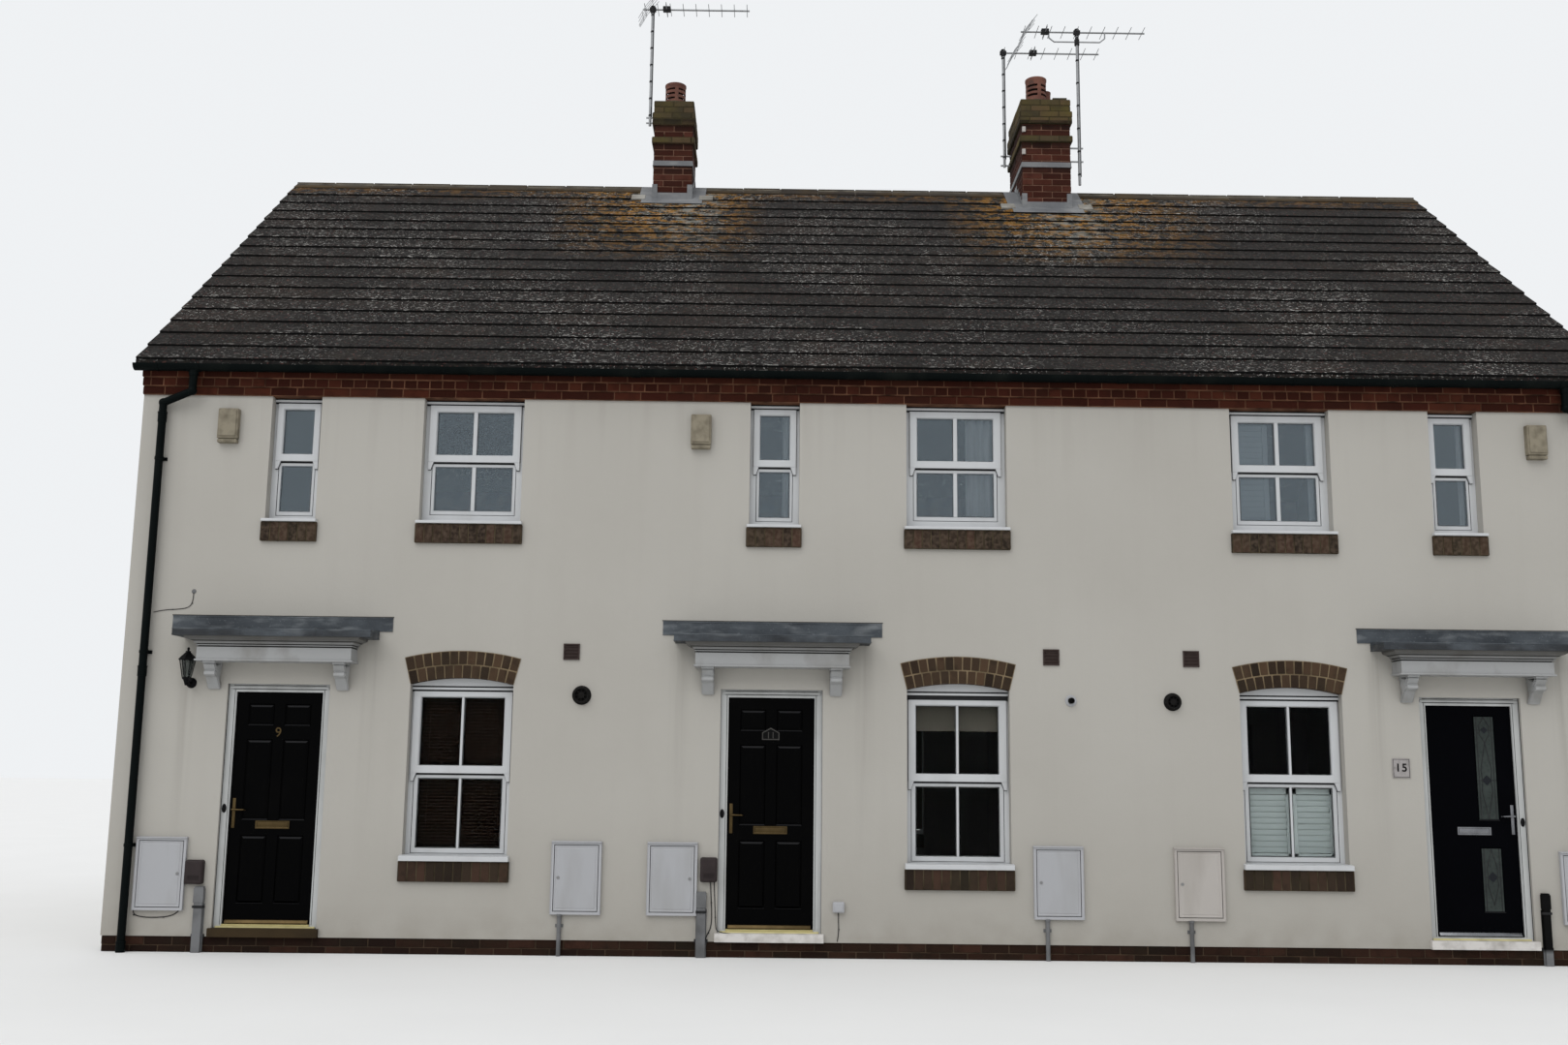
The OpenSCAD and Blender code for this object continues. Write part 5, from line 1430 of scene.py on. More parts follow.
# %% Door frames and sills
frame_white = mottled("door_frame_plastic", (0.445, 0.455, 0.45), (0.29, 0.295, 0.285), 0.4,
                      1, 5, (6, 6, 1.5), span=(0.4, 0.8), grain=(120, 2, 0.0004), gloss=0.3)
dress("door_frames", frame_white)
sill_stone = Finish("sill_stone", (0.20, 0.18, 0.14), 0.8, gloss=0.2)
brown = sill_stone.mix((0.016, 0.010, 0.004), (0.048, 0.030, 0.011), sill_stone.noise(5, 6))
painted = sill_stone.mix((0.58, 0.56, 0.535), (0.33, 0.31, 0.285),
                         sill_stone.noise(9, 6).clamp(0.42, 0.72))
# The painted sills begin 3 m right of the row's left end
sill_stone.feed(Base_Color=sill_stone.mix(
    brown, painted, sill_stone.axis("X") > DOOR_X[0] + 1.5 + TO_FRAME.x))
sill_stone.bump(sill_stone.noise(90, 5), 0.0015)
dress("door_sills", sill_stone)

seals_and_shadow_strips, drips, nosings, strips, bells = (bmesh.new() for _ in range(5))
for house, x in enumerate(DOOR_X):
    # The two strips at the head, under and over the drip bar, are painted shadow lines
    for z in (2.203, 2.236):
        across(seals_and_shadow_strips, x, 0.40, (0.0375, 0.041), (z, z + 0.005))
    for sign in (-1, 1):
        block(seals_and_shadow_strips, (x + sign * 0.4425, 0.030, 0.200), (x + sign * 0.4385, 0.045, 2.249))
        block(seals_and_shadow_strips, (x + sign * 0.388, 0.0385, 0.226), (x + sign * 0.384, 0.041, 2.20))
    shed_rain(across(drips, x, 0.425, (0.022, 0.0405), (2.212, 2.230)), 0.008)
    across(strips, x, 0.42, (0.026, 0.0405), (0.2005, 0.2135))
    if house < 2:
        across(nosings, x, 0.371, (0.028, 0.062), (0.2265, 0.2300))
        across(nosings, x, 0.371, (0.0265, 0.0300), (0.214, 0.2300))
bevel(drips, 0.002, 2)
bevel(nosings, 0.001, 1)
bevel(strips, 0.0005, 1)
finish_piece("door_seals_and_shadow_lines", seals_and_shadow_strips, rubber_and_shadow, "gutter", both=True)
finish_piece("door_drip_bars", drips, frame_white, "white_frame", both=True)
pale_brass = metal("pale_brass", (0.38, 0.32, 0.14), (0.62, 0.55, 0.27), 0.4)
finish_piece("threshold_nosings", nosings, pale_brass, "brass", both=True)
cream = mottled("cream_plastic", (0.56, 0.50, 0.24), (0.44, 0.39, 0.19), 0.45, 9, 5,
                span=(0.45, 0.75), grain=(150, 3, 0.0005))
finish_piece("threshold_strips", strips, cream, "cream_plastic", both=True)

for x in (DOOR_X[0] - 0.414, DOOR_X[1] - 0.414, DOOR_X[2] + 0.414):
    bmesh.ops.create_uvsphere(bells, u_segments=20, v_segments=12, radius=0.02,
                              matrix=Matrix.Translation((x, 0.040, 1.19))
                              @ Matrix.Diagonal((1, 0.6, 1.9, 1)))
    rod(bells, x, (0.03, 0.0265), 1.196, 0.008, 16)
bell_black = paint("bell_black", (0.006, 0.006, 0.0065), (0.025, 0.025, 0.025), 0.3)
finish_piece("door_bells", bells, bell_black, "black_paint", smooth=True)

# %% [markdown]
# A canopy is a moulded white cornice on two scrolled brackets with a lead roof. The cornice
# is one rectangle pushed upwards level by level; at every level its front and sides move out
# by the reach of the moulding, so the corners mitre by themselves. Its paint is greyer than
# the windows', partly from dirt that the lead above drips on it and partly as painted shade
# under the lead; the crown and the hollows of the moulding carry painted shadow as well.

# %% Canopies
CANOPY_HALF = 0.460
CROWN = [(0.216 + 0.067 * (t - sin(2 * pi * t) / 6.3), 2.580 + 0.052 * t)
         for t in (0, 0.12, 0.25, 0.38, 0.5, 0.62, 0.75, 0.88, 1)]
CORNICE = ([(0.198, 2.430), (0.208, 2.431), (0.212, 2.435), (0.212, 2.443), (0.208, 2.447),
            (0.199, 2.448), (0.199, 2.552), (0.188, 2.553), (0.188, 2.561), (0.206, 2.562),
            (0.206, 2.570), (0.198, 2.571), (0.198, 2.577), (0.212, 2.578)]
           + CROWN + [(0.2845, 2.6395)])


def reach_out(face, x, reach, z):
    """Moves a face's corners to one level of the moulding."""
    for v in face.verts:
        side = 1 if v.co.x > x else -1
        v.co = Vector((x + side * (CANOPY_HALF + reach), -reach if v.co.y < -0.001 else 0, z))


# The canopy paint's greyer white is part dirt and part painted shade under the lead
board_white = mottled("canopy_paint", (0.32, 0.325, 0.325), (0.21, 0.205, 0.19), 0.5,
                      1, 6, (5, 5, 3), span=(0.5, 0.85), grain=(60, 4, 0.0006), gloss=0.2)
height = board_white.axis("Z")
# Painted shade: the crown darkens towards the lead, with some dirt, and three thin near-black
# lines paint the shadow in the moulding's hollows
board_white.over((0.040, 0.036, 0.029), height.clamp(2.552, 2.620) * 0.8)
for low, high in ((2.548, 2.563), (2.569, 2.580), (2.596, 2.606)):
    line = height.clamp(low, low + 0.003) * height.clamp(high, high - 0.003)
    board_white.over((0.008, 0.007, 0.006), line * 0.95)
cornices = bmesh.new()
for x in DOOR_X:
    made = bmesh.new()
    for corner in ((-1, -1), (1, -1), (1, 0), (-1, 0)):
        made.verts.new((x + corner[0], corner[1], 0))
    face = bmesh.ops.contextual_create(made, geom=made.verts[:])["faces"][0]
    reach_out(face, x, *CORNICE[0])
    for i, (reach, z) in enumerate(CORNICE[1:]):
        # Only the first face stays behind, as the underside
        pushed = bmesh.ops.extrude_face_region(made, geom=[face], use_keep_orig=i == 0)
        face = faces_in(pushed["geom"])[0]
        reach_out(face, x, reach, z)
    merge(cornices, made)
outwards(cornices)
finish_piece("canopy_mouldings", cornices, board_white, "white_frame",
             stands_for=("canopy_cornices",))

BRACKET = [(0, 2.200), (-0.018, 2.200), (-0.024, 2.222), (-0.032, 2.252), (-0.052, 2.278),
           (-0.100, 2.296), (-0.148, 2.311), (-0.158, 2.318), (-0.159, 2.340), (-0.150, 2.346),
           (-0.138, 2.352), (-0.142, 2.374), (-0.150, 2.388), (-0.169, 2.400), (-0.1885, 2.402),
           (-0.1885, 2.4295), (0, 2.4295)]
brackets = bmesh.new()
for x in DOOR_X:
    for sign in (-1, 1):
        left = x + sign * 0.605 - 0.105 * (sign > 0)
        made = bmesh.new()
        outline(made, [(left + 0.007, y, z) for y, z in BRACKET], (0.091, 0, 0))
        rounded = [e for e in made.edges
                   if abs(e.verts[0].co.x - e.verts[1].co.x) > 0.05
                   and e.verts[0].co.y < -0.05 and e.verts[0].co.z < 2.396]
        bevel(made, 0.005, 2, rounded)
        core = bmesh.new()
        outline(core, [(left, y * 0.88, 2.203 + (z - 2.2) * 0.97) for y, z in BRACKET],
                (0.105, 0, 0))
        bevel(core, 0.003, 1)
        merge(brackets, made)
        merge(brackets, core)
        block(brackets, (left, -0.1895, 2.414), (left + 0.105, 0, 2.4295))
finish_piece("canopy_brackets_carved", brackets, board_white, "white_frame",
             stands_for=("canopy_brackets",))

canopy_lead = lead_finish("canopy_lead", (0.030, 0.036, 0.043), (0.078, 0.090, 0.102),
                          (0.20, 0.215, 0.225), 2.700)
dress("canopy_roofs", canopy_lead)
folds, chase = bmesh.new(), bmesh.new()
for x in DOOR_X:
    for z in (2.643, 2.697):
        rod(folds, (x - 0.840, x + 0.840), -0.300, z, 0.0045, 8)
        for sign in (-1, 1):
            rod(folds, x + sign * 0.839, (-0.300, -0.002), z, 0.0045, 8)
    for dx in (-0.31, 0.33):
        block(folds, (x + dx, -0.3025, 2.643), (x + dx + 0.045, -0.2995, 2.699))
        tube(folds, (x + dx + 0.02, -0.298, 2.700), (x + dx + 0.02, -0.006, 2.726), 0.011, 10)
    rod(folds, (x - 0.955, x + 0.955), -0.006, 2.716, 0.004, 8)
    for i in range(9):
        a = x - 0.955 + i * 0.2122
        block(folds, (a + 0.004, -0.009 - 0.001 * (i % 2), 2.822), (a + 0.208, -0.003, 2.834))
    across(chase, x, 0.962, (-0.006, 0.002), (2.834, 2.842))
bevel(chase, 0.002, 1)
finish_piece("canopy_lead_folds", folds, canopy_lead, "lead")
chase_mortar = mortar("chase_mortar", (0.10, 0.095, 0.085), (0.035, 0.034, 0.030))
finish_piece("flashing_chases", chase, chase_mortar, "lead")

# %% [markdown]
# Each house has a gas and an electricity cupboard: a moulded box in the wall whose door is
# pressed with a raised field and carries a round lock on the side away from its hinge. A
# hood over the frame throws the rain off. The hinges' knuckles are left out.

# %% Meter cupboards
box_white = mottled("cupboard_white", (0.345, 0.35, 0.365), (0.25, 0.25, 0.24), 0.5,
                    1, 6, (5, 5, 1.2), span=(0.48, 0.8), share=0.55, grain=(220, 3, 0.0005))
box_cream = mottled("cupboard_cream", (0.385, 0.36, 0.335), (0.26, 0.24, 0.21), 0.5,
                    1, 6, (5, 5, 1.2), span=(0.45, 0.8), share=0.6, grain=(220, 3, 0.0005))
# The frames take the colour of their doors
box_frames = Finish("cupboard_frames", (0.365, 0.37, 0.385), 0.5)
box_frames.over((0.375, 0.35, 0.325),
                (box_frames.axis("X") - GAS_X[2] - TO_FRAME.x).abs().clamp(0.32, 0.30))
box_frames.bump(box_frames.noise(220, 3), 0.0005)
dress("meter_cupboards", box_frames)
lock_grey = Finish("lock_grey", (0.22, 0.22, 0.22), 0.4, Metallic=0.4)
lock_grey.feed(Roughness=lock_grey.noise(50) * 0.3 + 0.3)


def cupboard_door(name, x, hinge, finish):
    """Adds a cupboard door; hinge is the side that it turns on."""
    body = f"{name}_cupboard_door"
    bm = bmesh.new()
    leaf = across(bm, x, 0.184, (-0.030, -0.014), (0.371, 0.914))
    sink(bm, front_of(leaf), (0.014, 0), (0.005, -0.0025), (0.010, 0), (0.005, 0.0025))
    bevel(bm, 0.001, 1)
    finish_piece(f"{name}_cupboard_panel", bm, finish, "white_frame", body, (f"{name}_door",))
    lock = bmesh.new()
    lock_x = x - hinge * 0.150
    rod(lock, lock_x, (-0.029, -0.034), 0.645, 0.014, 24, 0.012)
    rod(lock, lock_x, (-0.032, -0.036), 0.645, 0.006, 3)
    finish_piece(f"{name}_cupboard_lock", lock, lock_grey, "duct", body)


hoods = bmesh.new()
for i, house in enumerate(("left", "middle", "right")):
    for kind, x, hinge in (("gas", GAS_X[i], 1), ("electric", ELECTRIC_X[i], -1)):
        finish = box_cream if (house, kind) == ("right", "gas") else box_white
        cupboard_door(f"{house}_{kind}", x, hinge, finish)
        shed_rain(across(hoods, x, 0.214, (-0.044, 0.0), (0.938, 0.950)), 0.006)
        for sign in (-1, 1):
            block(hoods, (x + sign * 0.2085, -0.034, 0.343), (x + sign * 0.2125, 0, 0.94))
        across(hoods, x, 0.2125, (-0.034, 0), (0.341, 0.346))
bevel(hoods, 0.0015, 1)
finish_piece("cupboard_hoods", hoods, box_frames, "white_frame")

# %% [markdown]
# The small things on the wall: alarm boxes under the eaves, two telephone boxes, a socket
# and the number plaque. Two cable boxes sit on the right stack. All are bevelled boxes.

# %% Boxes on the wall
alarm_cream = mottled("alarm_cream", (0.225, 0.198, 0.145), (0.11, 0.094, 0.066), 0.55, 11, 6,
                      span=(0.42, 0.75), grain=(140, 3, 0.0005), gloss=0.2)
brown_box = mottled("brown_box", (0.036, 0.027, 0.027), (0.017, 0.012, 0.012), 0.5, 14, 5,
                    grain=(160, 3, 0.0005), gloss=0.15)


def rounded_box(bm, low, high, edge, fall=0.0):
    """Adds a box with rounded front edges whose front leans back by fall at the top."""
    verts = block(bm, low, high)
    for v in verts:
        if v.co.y < low[1] + 0.001 and v.co.z > high[2] - 0.001:
            v.co.y += fall
    bevel(bm, edge, 3, [e for e in edges_of(verts)
                        if min(w.co.y for w in e.verts) < high[1] - 0.001])


alarms = bmesh.new()
for x in (0.780, 4.964, 12.407):
    rounded_box(alarms, (x - 0.090, -0.060, 4.402), (x + 0.090, 0, 4.675), 0.012)
    rounded_box(alarms, (x - 0.076, -0.069, 4.422), (x + 0.076, -0.055, 4.657), 0.006)
    rounded_box(alarms, (x - 0.085, -0.056, 4.365), (x + 0.085, 0, 4.398), 0.008)
    for a in (x - 0.063 + i * 0.0235 for i in range(6)):
        block(alarms, (a, -0.0595, 4.370), (a + 0.009, -0.054, 4.393))
finish_piece("alarm_boxes", alarms, alarm_cream, "box", stands_for=("wall_boxes",))

phones = bmesh.new()
rounded_box(phones, (0.6815, -0.058, 0.560), (0.8365, 0, 0.760), 0.018, 0.010)
rounded_box(phones, (5.0305, -0.058, 0.620), (5.1755, 0, 0.825), 0.018, 0.010)
for x, z in ((0.759, 0.600), (5.103, 0.662)):
    for i in range(4):
        across(phones, x, 0.045, (-0.060, -0.055), (z + i * 0.009, z + 0.004 + i * 0.009))
finish_piece("telephone_boxes", phones, brown_box, "box")

cable_boxes = bmesh.new()
for x, z in ((8.463, 8.926), (8.459, 8.653)):
    rounded_box(cable_boxes, (x - 0.020, 3.370, z - 0.033), (x + 0.020, 3.394, z + 0.033), 0.006)
finish_piece("stack_cable_boxes", cable_boxes, box_cream, "box")

socket = bmesh.new()
rounded_box(socket, (6.157, -0.043, 0.380), (6.255, 0, 0.468), 0.010, 0.004)
rounded_box(socket, (6.170, -0.046, 0.392), (6.242, -0.038, 0.440), 0.004)
finish_piece("wall_socket", socket, box_white, "box")

plaque = bmesh.new()
rounded_box(plaque, (10.975, -0.010, 1.556), (11.127, 0, 1.721), 0.002)
plaque_stone = mottled("plaque_stone", (0.30, 0.282, 0.275), (0.20, 0.186, 0.177), 0.6, 30, 5,
                       span=(0.45, 0.75))
finish_piece("number_plaque", plaque, plaque_stone, "box")
figures = bmesh.new()
for dx, text in ((-0.029, "1"), (0.027, "5")):
    merge(figures, numeral(text, 0.095, (11.051 + dx, -0.0105, 1.640), 0.002, 0.002))
mitred_frame(figures, (10.981, 11.121), (1.562, 1.715), (-0.0115, -0.009), 0.003, 0.0005, 0.0005)
finish_piece("right_number", figures, number_black, "black_paint")

# %% [markdown]
# The air bricks are framed and louvred like small shutters. A flue end is a profile spun
# about a line out of the wall, and so is the rose of the carriage lantern, whose body is
# made of cones with six sides.

# %% Vents, flues and lantern
vent_brown = mottled("vent_brown", (0.050, 0.034, 0.030), (0.028, 0.019, 0.017), 0.6, 20, 5,
                     grain=(150, 3, 0.0006), gloss=0.15)
vents = bmesh.new()
for x in (3.878, 8.046, 9.266):
    mitred_frame(vents, (x - 0.070, x + 0.070), (2.487, 2.627), (-0.013, 0.001),
                 0.014, 0.004, 0.006)
    slatted(vents, (x - 0.058, x + 0.058), (2.500, 2.614), -0.006, 0.0285, 0.021,
            radians(-50), 0.004)
    across(vents, x, 0.060, (-0.0015, 0), (2.497, 2.617))
finish_piece("louvred_vents", vents, vent_brown, "vent", stands_for=("wall_vents",))

flue_black = mottled("flue_black", (0.003, 0.003, 0.003), (0.010, 0.009, 0.008), 0.55, 18, 5,
                     grain=(120, 3, 0.0006), gloss=0.08)


def spun(bm, profile, centre, steps=40):
    """Spins a profile of (radius, distance out of the wall) about a line out of the wall."""
    ring = bmesh.new()
    verts = [ring.verts.new((r, -y, 0)) for r, y in profile]
    edges = [ring.edges.new(pair) for pair in zip(verts, verts[1:])]
    bmesh.ops.spin(ring, geom=verts + edges, axis=(0, 1, 0), cent=(0, 0, 0),
                   angle=2 * pi, steps=steps, use_merge=True)
    bmesh.ops.remove_doubles(ring, verts=ring.verts[:], dist=1e-5)
    outwards(ring)
    merge(bm, ring, centre)


FLUE_Z = 2.183
flues, plates = bmesh.new(), bmesh.new()
for x, radius in ((3.977, 0.0825), (9.094, 0.0775)):
    spun(flues, [(0, 0), (radius, 0), (radius, 0.006), (radius - 0.012, 0.014),
                 (radius - 0.014, 0.040), (radius - 0.020, 0.045), (radius - 0.028, 0.043),
                 (radius - 0.030, 0.010), (0.030, 0.008), (0.028, 0.036), (0, 0.040)],
         (x, 0, FLUE_Z))
    for turn in range(4):
        spoke = Matrix.Translation((x, -0.036, FLUE_Z)) @ Matrix.Rotation(turn * pi / 4, 4, "Y")
        block(flues, (-radius + 0.02, -0.002, -0.003), (radius - 0.02, 0.002, 0.003), spoke)
spun(flues, [(0, 0.010), (0.026, 0.010), (0.026, 0.044), (0.021, 0.045), (0.020, 0.016),
             (0, 0.016)], (8.211, 0, FLUE_Z))
spun(plates, [(0, 0), (0.050, 0), (0.050, 0.004), (0.044, 0.011), (0.024, 0.012), (0, 0.012)],
     (8.211, 0, FLUE_Z))
finish_piece("flue_ends", flues, flue_black, "vent", smooth=True)
finish_piece("flue_plate", plates, box_white, "vent", smooth=True)

lantern_black = paint("lantern_black", (0.004, 0.004, 0.0045), (0.014, 0.013, 0.012), 0.38)
lantern = bmesh.new()
x, y = 0.6095, -0.125
spun(lantern, [(0, 0), (0.045, 0), (0.045, 0.005), (0.036, 0.012), (0.018, 0.020), (0, 0.022)],
     (x, 0, 2.250))
tube(lantern, (x, -0.015, 2.250), (x, y, 2.236), 0.009, 14)
tube(lantern, (x, -0.02, 2.215), (x, y + 0.02, 2.226), 0.005, 10)
# The turned parts from foot to cap: from, to, radius, sides, radius at the top
for foot, head, *shape in ((2.222, 2.250, 0.010, 16, 0.018), (2.250, 2.275, 0.018, 6, 0.028),
                           (2.275, 2.292, 0.036, 6, 0.038), (2.438, 2.448, 0.074, 6, 0.077),
                           (2.448, 2.475, 0.074, 6, 0.052), (2.475, 2.503, 0.050, 6, 0.024),
                           (2.503, 2.515, 0.020, 12, 0.022), (2.515, 2.530, 0.010, 12)):
    rod(lantern, x, y, (foot, head), *shape)
for turn in range(6):
    a = turn * pi / 3 + pi / 6
    c, s = cos(a), sin(a)
    tube(lantern, (x + 0.035 * c, y + 0.035 * s, 2.290), (x + 0.065 * c, y + 0.065 * s, 2.440),
         0.004, 6)
bmesh.ops.create_uvsphere(lantern, u_segments=14, v_segments=8, radius=0.012,
                          matrix=Matrix.Translation((x, y, 2.536)))
finish_piece("carriage_lantern", lantern, lantern_black, "lantern",
             stands_for=("wall_lantern",))
shade_glass = bmesh.new()
bmesh.ops.create_cone(shade_glass, cap_ends=False, segments=6, radius1=0.034, radius2=0.063,
                      depth=0.148, matrix=Matrix.Translation((x, y, 2.365))
                      @ Matrix.Rotation(radians(30), 4, "Z"))
bmesh.ops.solidify(shade_glass, geom=shade_glass.faces[:], thickness=0.002)
outwards(shade_glass)
finish_piece("lantern_glass", shade_glass, glass("lantern_pane", 1.2, (0.45, 0.48, 0.48)),
             "glass")

# %% [markdown]
# Rainwater goods are dark green-black plastic: the half-round gutter is the solid itself,
# with brackets and union clips round it; the downpipes get their sockets and the clips'
# screws. The bands are a thin rectangle spun half a turn about the gutter's centre line.

# %% Gutters and pipes
pipe_green = mottled("pipe_green_black", (0.0025, 0.004, 0.004), (0.011, 0.013, 0.011), 0.42,
                     3, 6, (1, 1, 0.3), span=(0.5, 0.75), share=0.6, grain=(90, 2, 0.0004),
                     gloss=0.03)
pipe_green.feed(Roughness=pipe_green.noise(20, 4) * 0.3 + 0.28)
for node in ("gutters", "downpipes", "downpipe_necks"):
    dress(node, pipe_green)
GUTTER_Y, GUTTER_Z, GUTTER_R = -0.117, 5.0487, 0.057
PIPE_X, PIPE_Y, PIPE_R = (0.200, 12.920), -0.058, 0.0385


def gutter_band(bm, x, width, proud):
    """Adds a half ring that holds the gutter at x."""
    band = bmesh.new()
    verts = [band.verts.new(p) for p in ((x - width / 2, GUTTER_R - 0.001, 0),
                                         (x - width / 2, GUTTER_R + proud, 0),
                                         (x + width / 2, GUTTER_R + proud, 0),
                                         (x + width / 2, GUTTER_R - 0.001, 0))]
    face = band.faces.new(verts)
    bmesh.ops.spin(band, geom=[face], axis=(1, 0, 0), cent=(0, 0, 0), angle=-pi, steps=14)
    bmesh.ops.contextual_create(band, geom=[e for e in band.edges if e.is_boundary])
    outwards(band)
    merge(bm, band, (0, GUTTER_Y, GUTTER_Z))


rainwater = bmesh.new()
for i in range(15):
    x = 0.15 + i * (ROW_W - 0.3) / 14
    gutter_band(rainwater, x, 0.022, 0.003)
    across(rainwater, x, 0.011, (-0.064, -0.055), (4.995, 5.045))
for x in (4.38, 8.70):
    gutter_band(rainwater, x, 0.085, 0.005)
for x in (0.470, 12.650):
    gutter_band(rainwater, x, 0.11, 0.005)
    rod(rainwater, x, GUTTER_Y, (4.950, 4.997), 0.040, 24)
for x in PIPE_X:
    for z in (0.0, 2.30, 4.54):
        rod(rainwater, x, PIPE_Y, (z + 0.001, z + 0.085), PIPE_R, 28)
        rod(rainwater, x, PIPE_Y, (z + 0.080, z + 0.090), PIPE_R + 0.003, 28)
    for z in (0.864, 2.496, 4.200):
        rod(rainwater, x, PIPE_Y, (z + 0.002, z + 0.028), PIPE_R, 28)
        for sign in (-1, 1):
            block(rainwater, (x + sign * 0.030, -0.012, z), (x + sign * 0.052, 0, z + 0.030))
            rod(rainwater, x + sign * 0.044, (-0.010, -0.015), z + 0.015, 0.005, 8)
finish_piece("rainwater_fittings", rainwater, pipe_green, "gutter", both=True)

# %% [markdown]
# Grey plastic guards carry the cables up from the ground, and the gas rises in a thin pipe.
# They stay as the solids are and get straps and clips. Black cables are pinned to the wall
# under the left cupboard, from the middle telephone box and from the socket, and a thin
# one crosses from a hole to the left downpipe.

# %% Guards and pinned cables
guard_grey = mottled("guard_grey", (0.155, 0.158, 0.162), (0.075, 0.075, 0.075), 0.6, 5, 6,
                     span=(0.4, 0.75), grain=(110, 3, 0.0006), gloss=0.06)
# The right guard is black above its grey foot
guard_grey.over((0.003, 0.003, 0.003),
                guard_grey.axis("X").clamp(12.0 + TO_FRAME.x, 12.01 + TO_FRAME.x)
                * guard_grey.axis("Z").clamp(0.10, 0.14))
dress("service_ducts", guard_grey)
straps, clips = bmesh.new(), bmesh.new()
for x, half, out, top in ((0.815, 0.036, 0.045, 0.540), (5.046, 0.036, 0.045, 0.540),
                          (12.215, 0.030, 0.035, 0.600)):
    across(clips, x, half + 0.006, (-out - 0.005, 0), (top - 0.13, top - 0.012))
    across(straps, x, half + 0.010, (-out - 0.007, 0), (top - 0.175, top - 0.155))
    across(straps, x, half + 0.022, (-0.003, 0), (0.12, 0.15))
    for sign in (-1, 1):
        across(clips, x + sign * half, 0.009, (-0.006, 0), (0.0, top - 0.14))
for x in (3.850, 7.975, 9.195):
    rod(clips, x, -0.020, (0.235, 0.262), 0.0205, 20)
    across(clips, x, 0.034, (-0.006, 0), (0.235, 0.262))
    rod(clips, x, -0.020, (0.325, 0.345), 0.024, 20)
for made in (straps, clips):
    bevel(made, 0.001, 1)
finish_piece("guard_straps", straps, rubber_and_shadow, "duct")
finish_piece("guard_covers", clips, guard_grey, "duct")


def pinned_cable(bm, points, radius):
    """Runs a round cable through points on the wall, with a clip at every third one."""
    curve = bpy.data.curves.new("pinned", "CURVE")
    curve.dimensions = "3D"
    curve.bevel_depth, curve.bevel_resolution, curve.resolution_u = radius, 2, 6
    curve.use_fill_caps = True
    spline = curve.splines.new("NURBS")
    spline.points.add(len(points) - 1)
    for p, (x, z) in zip(spline.points, points):
        p.co = (x, -radius - 0.0005, z, 1)
    spline.use_endpoint_u = True
    spline.order_u = 4
    draw_into(bm, curve)
    for x, z in points[2:-1:3]:
        block(bm, (x - radius * 1.6, -radius * 2.4, z - 0.004), (x + radius * 1.6, 0, z + 0.004))


cables = bmesh.new()
pinned_cable(cables, [(0.262, 0.345), (0.262, 0.325), (0.270, 0.300), (0.330, 0.285),
                      (0.420, 0.280), (0.520, 0.285), (0.600, 0.300), (0.645, 0.335),
                      (0.665, 0.400), (0.668, 0.480), (0.675, 0.560), (0.690, 0.600)], 0.004)
pinned_cable(cables, [(5.120, 0.625), (5.122, 0.560), (5.130, 0.450), (5.136, 0.330),
                      (5.130, 0.250), (5.110, 0.200), (5.085, 0.165), (5.082, 0.10)], 0.004)
pinned_cable(cables, [(5.150, 0.625), (5.156, 0.500), (5.165, 0.330), (5.170, 0.240),
                      (5.180, 0.205), (5.30, 0.197)], 0.0035)
pinned_cable(cables, [(6.206, 0.385), (6.206, 0.32), (6.210, 0.24), (6.204, 0.18),
                      (6.196, 0.14)], 0.0035)
pinned_cable(cables, [(0.570, 3.036), (0.572, 2.990), (0.565, 2.940), (0.540, 2.905),
                      (0.480, 2.890), (0.400, 2.885), (0.320, 2.880), (0.235, 2.860)], 0.003)
finish_piece("pinned_cables", cables, rubber_and_shadow, "gutter")
holes = bmesh.new()
spun(holes, [(0, 0), (0.020, 0), (0.018, 0.004), (0.008, 0.007), (0, 0.007)], (0.572, 0, 3.045),
     20)
finish_piece("cable_entry", holes, guard_grey, "duct")

# %% [markdown]
# The aerials are dull aluminium tube. The solids give masts, booms and elements; here they
# get the folded dipole boxes, crossed reflectors, a bent cradle under the longest boom, mast
# clamps and the cable tied down each mast.

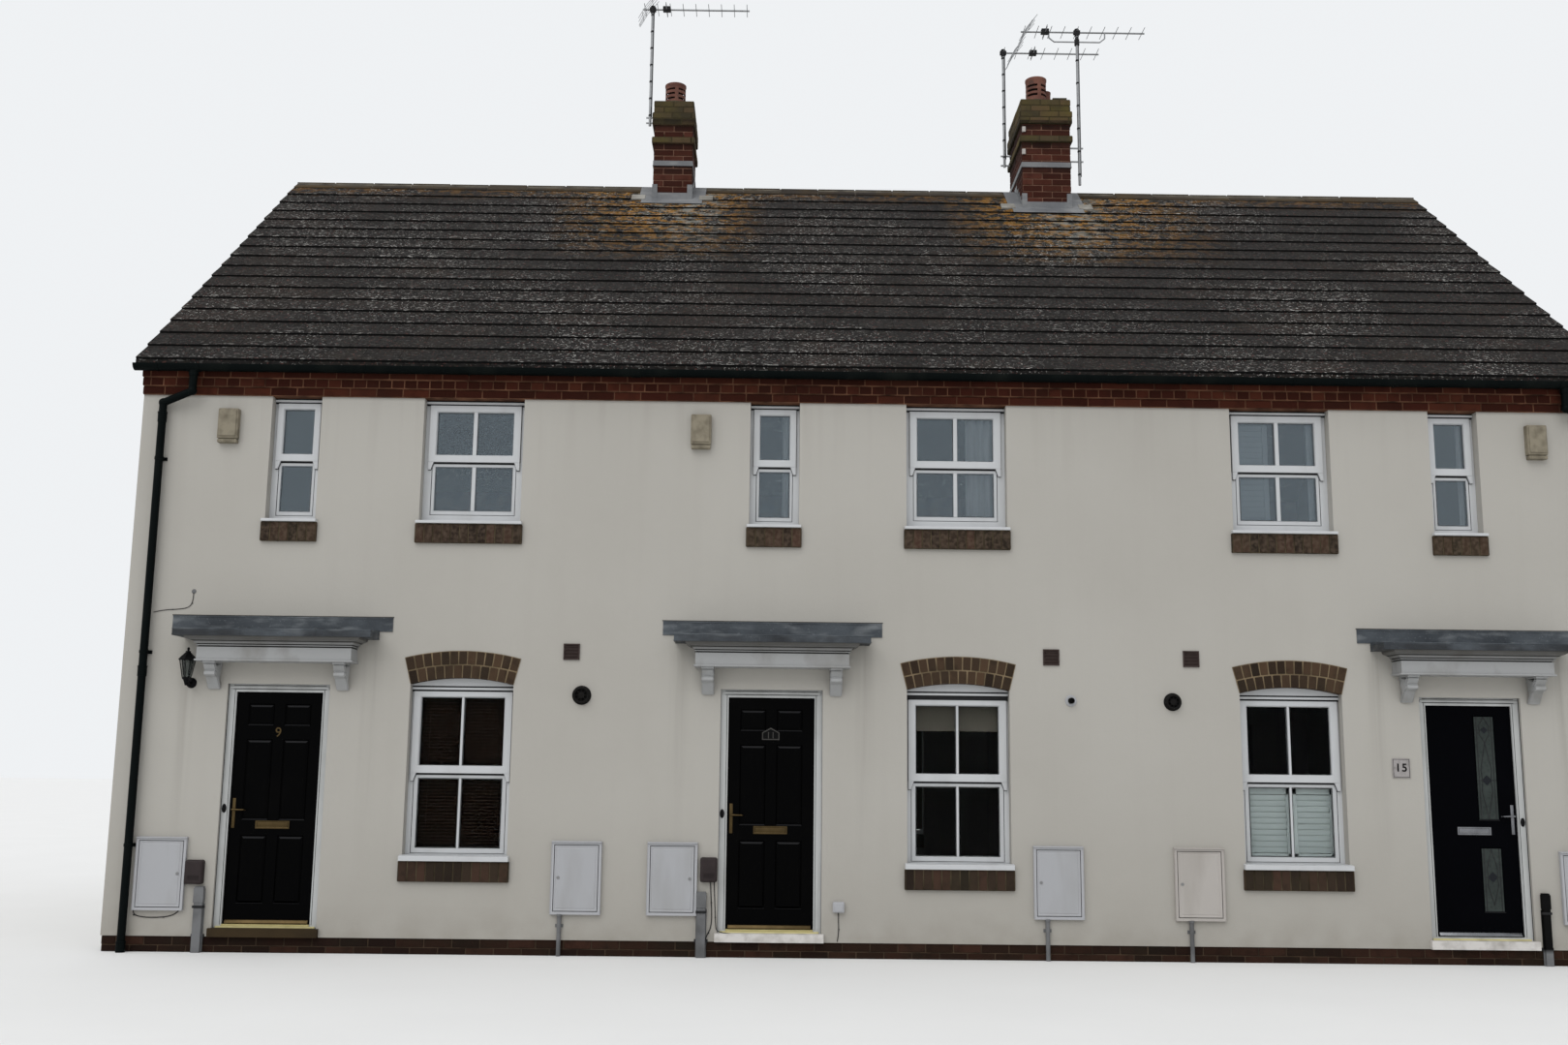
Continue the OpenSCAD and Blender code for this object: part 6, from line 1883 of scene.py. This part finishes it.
# %% Aerial fittings
aluminium = metal("dull_aluminium", (0.20, 0.205, 0.21), (0.34, 0.345, 0.35), 0.48, 90)
dress("aerials", aluminium)
rods, blacks = bmesh.new(), bmesh.new()
# Mast's place and foot, boom's height and the place of the reflector on it
AERIALS = ((4.110, 3.640, 9.015, 10.480, 4.040), (8.3585, 4.170, 8.785, 10.260, 8.4885),
           (9.1265, 3.510, 8.305, 10.200, 8.5165))
for x, y, foot, boom, back in AERIALS:
    for tilt in (-1, 1):
        for dy in (-0.11, -0.055, 0, 0.055, 0.11):
            tube(rods, (back, y + dy, boom),
                 (back + 0.13 - 0.22 * (tilt < 0), y + dy, boom + tilt * (0.20 - 0.3 * abs(dy))),
                 0.0035, 6)
        bar_x = back + 0.065 - 0.11 * (tilt < 0)
        rod(rods, bar_x, (y - 0.12, y + 0.12), boom + tilt * 0.09, 0.003, 6)
    rounded_box(blacks, (back + 0.19, y - 0.035, boom - 0.018),
                (back + 0.28, y + 0.035, boom + 0.034), 0.006)
    for dz in (0.012, -0.008):
        rod(rods, back + 0.235, (y - 0.16, y + 0.16), boom + dz, 0.005, 8)
    rod(blacks, x, y, (boom - 0.045, boom + 0.042), 0.026, 16)
    across(blacks, x, 0.038, (y - 0.022, y + 0.022), (boom - 0.022, boom + 0.022))
    for k in range(7):
        z = foot + 0.12 + k * (boom - foot - 0.2) / 6
        rod(blacks, x, y, (z, z + 0.018), 0.0205, 12)
    rod(blacks, x + 0.0185, y - 0.006, (foot + 0.10, boom - 0.03), 0.0035, 6)
# The cradle under the longest boom
cradle = [(-0.33, 0), (-0.33, -0.07), (-0.27, -0.12), (0.27, -0.12), (0.33, -0.07), (0.33, 0)]
for a, b in zip(cradle, cradle[1:]):
    tube(rods, (x + a[0], y, boom + a[1]), (x + b[0], y, boom + b[1]), 0.008, 10)
rod(blacks, x, y, (boom - 0.16, boom - 0.09), 0.030, 16)
finish_piece("aerial_rods", rods, aluminium, "aerial")
finish_piece("aerial_clamps", blacks, rubber_and_shadow, "aerial")
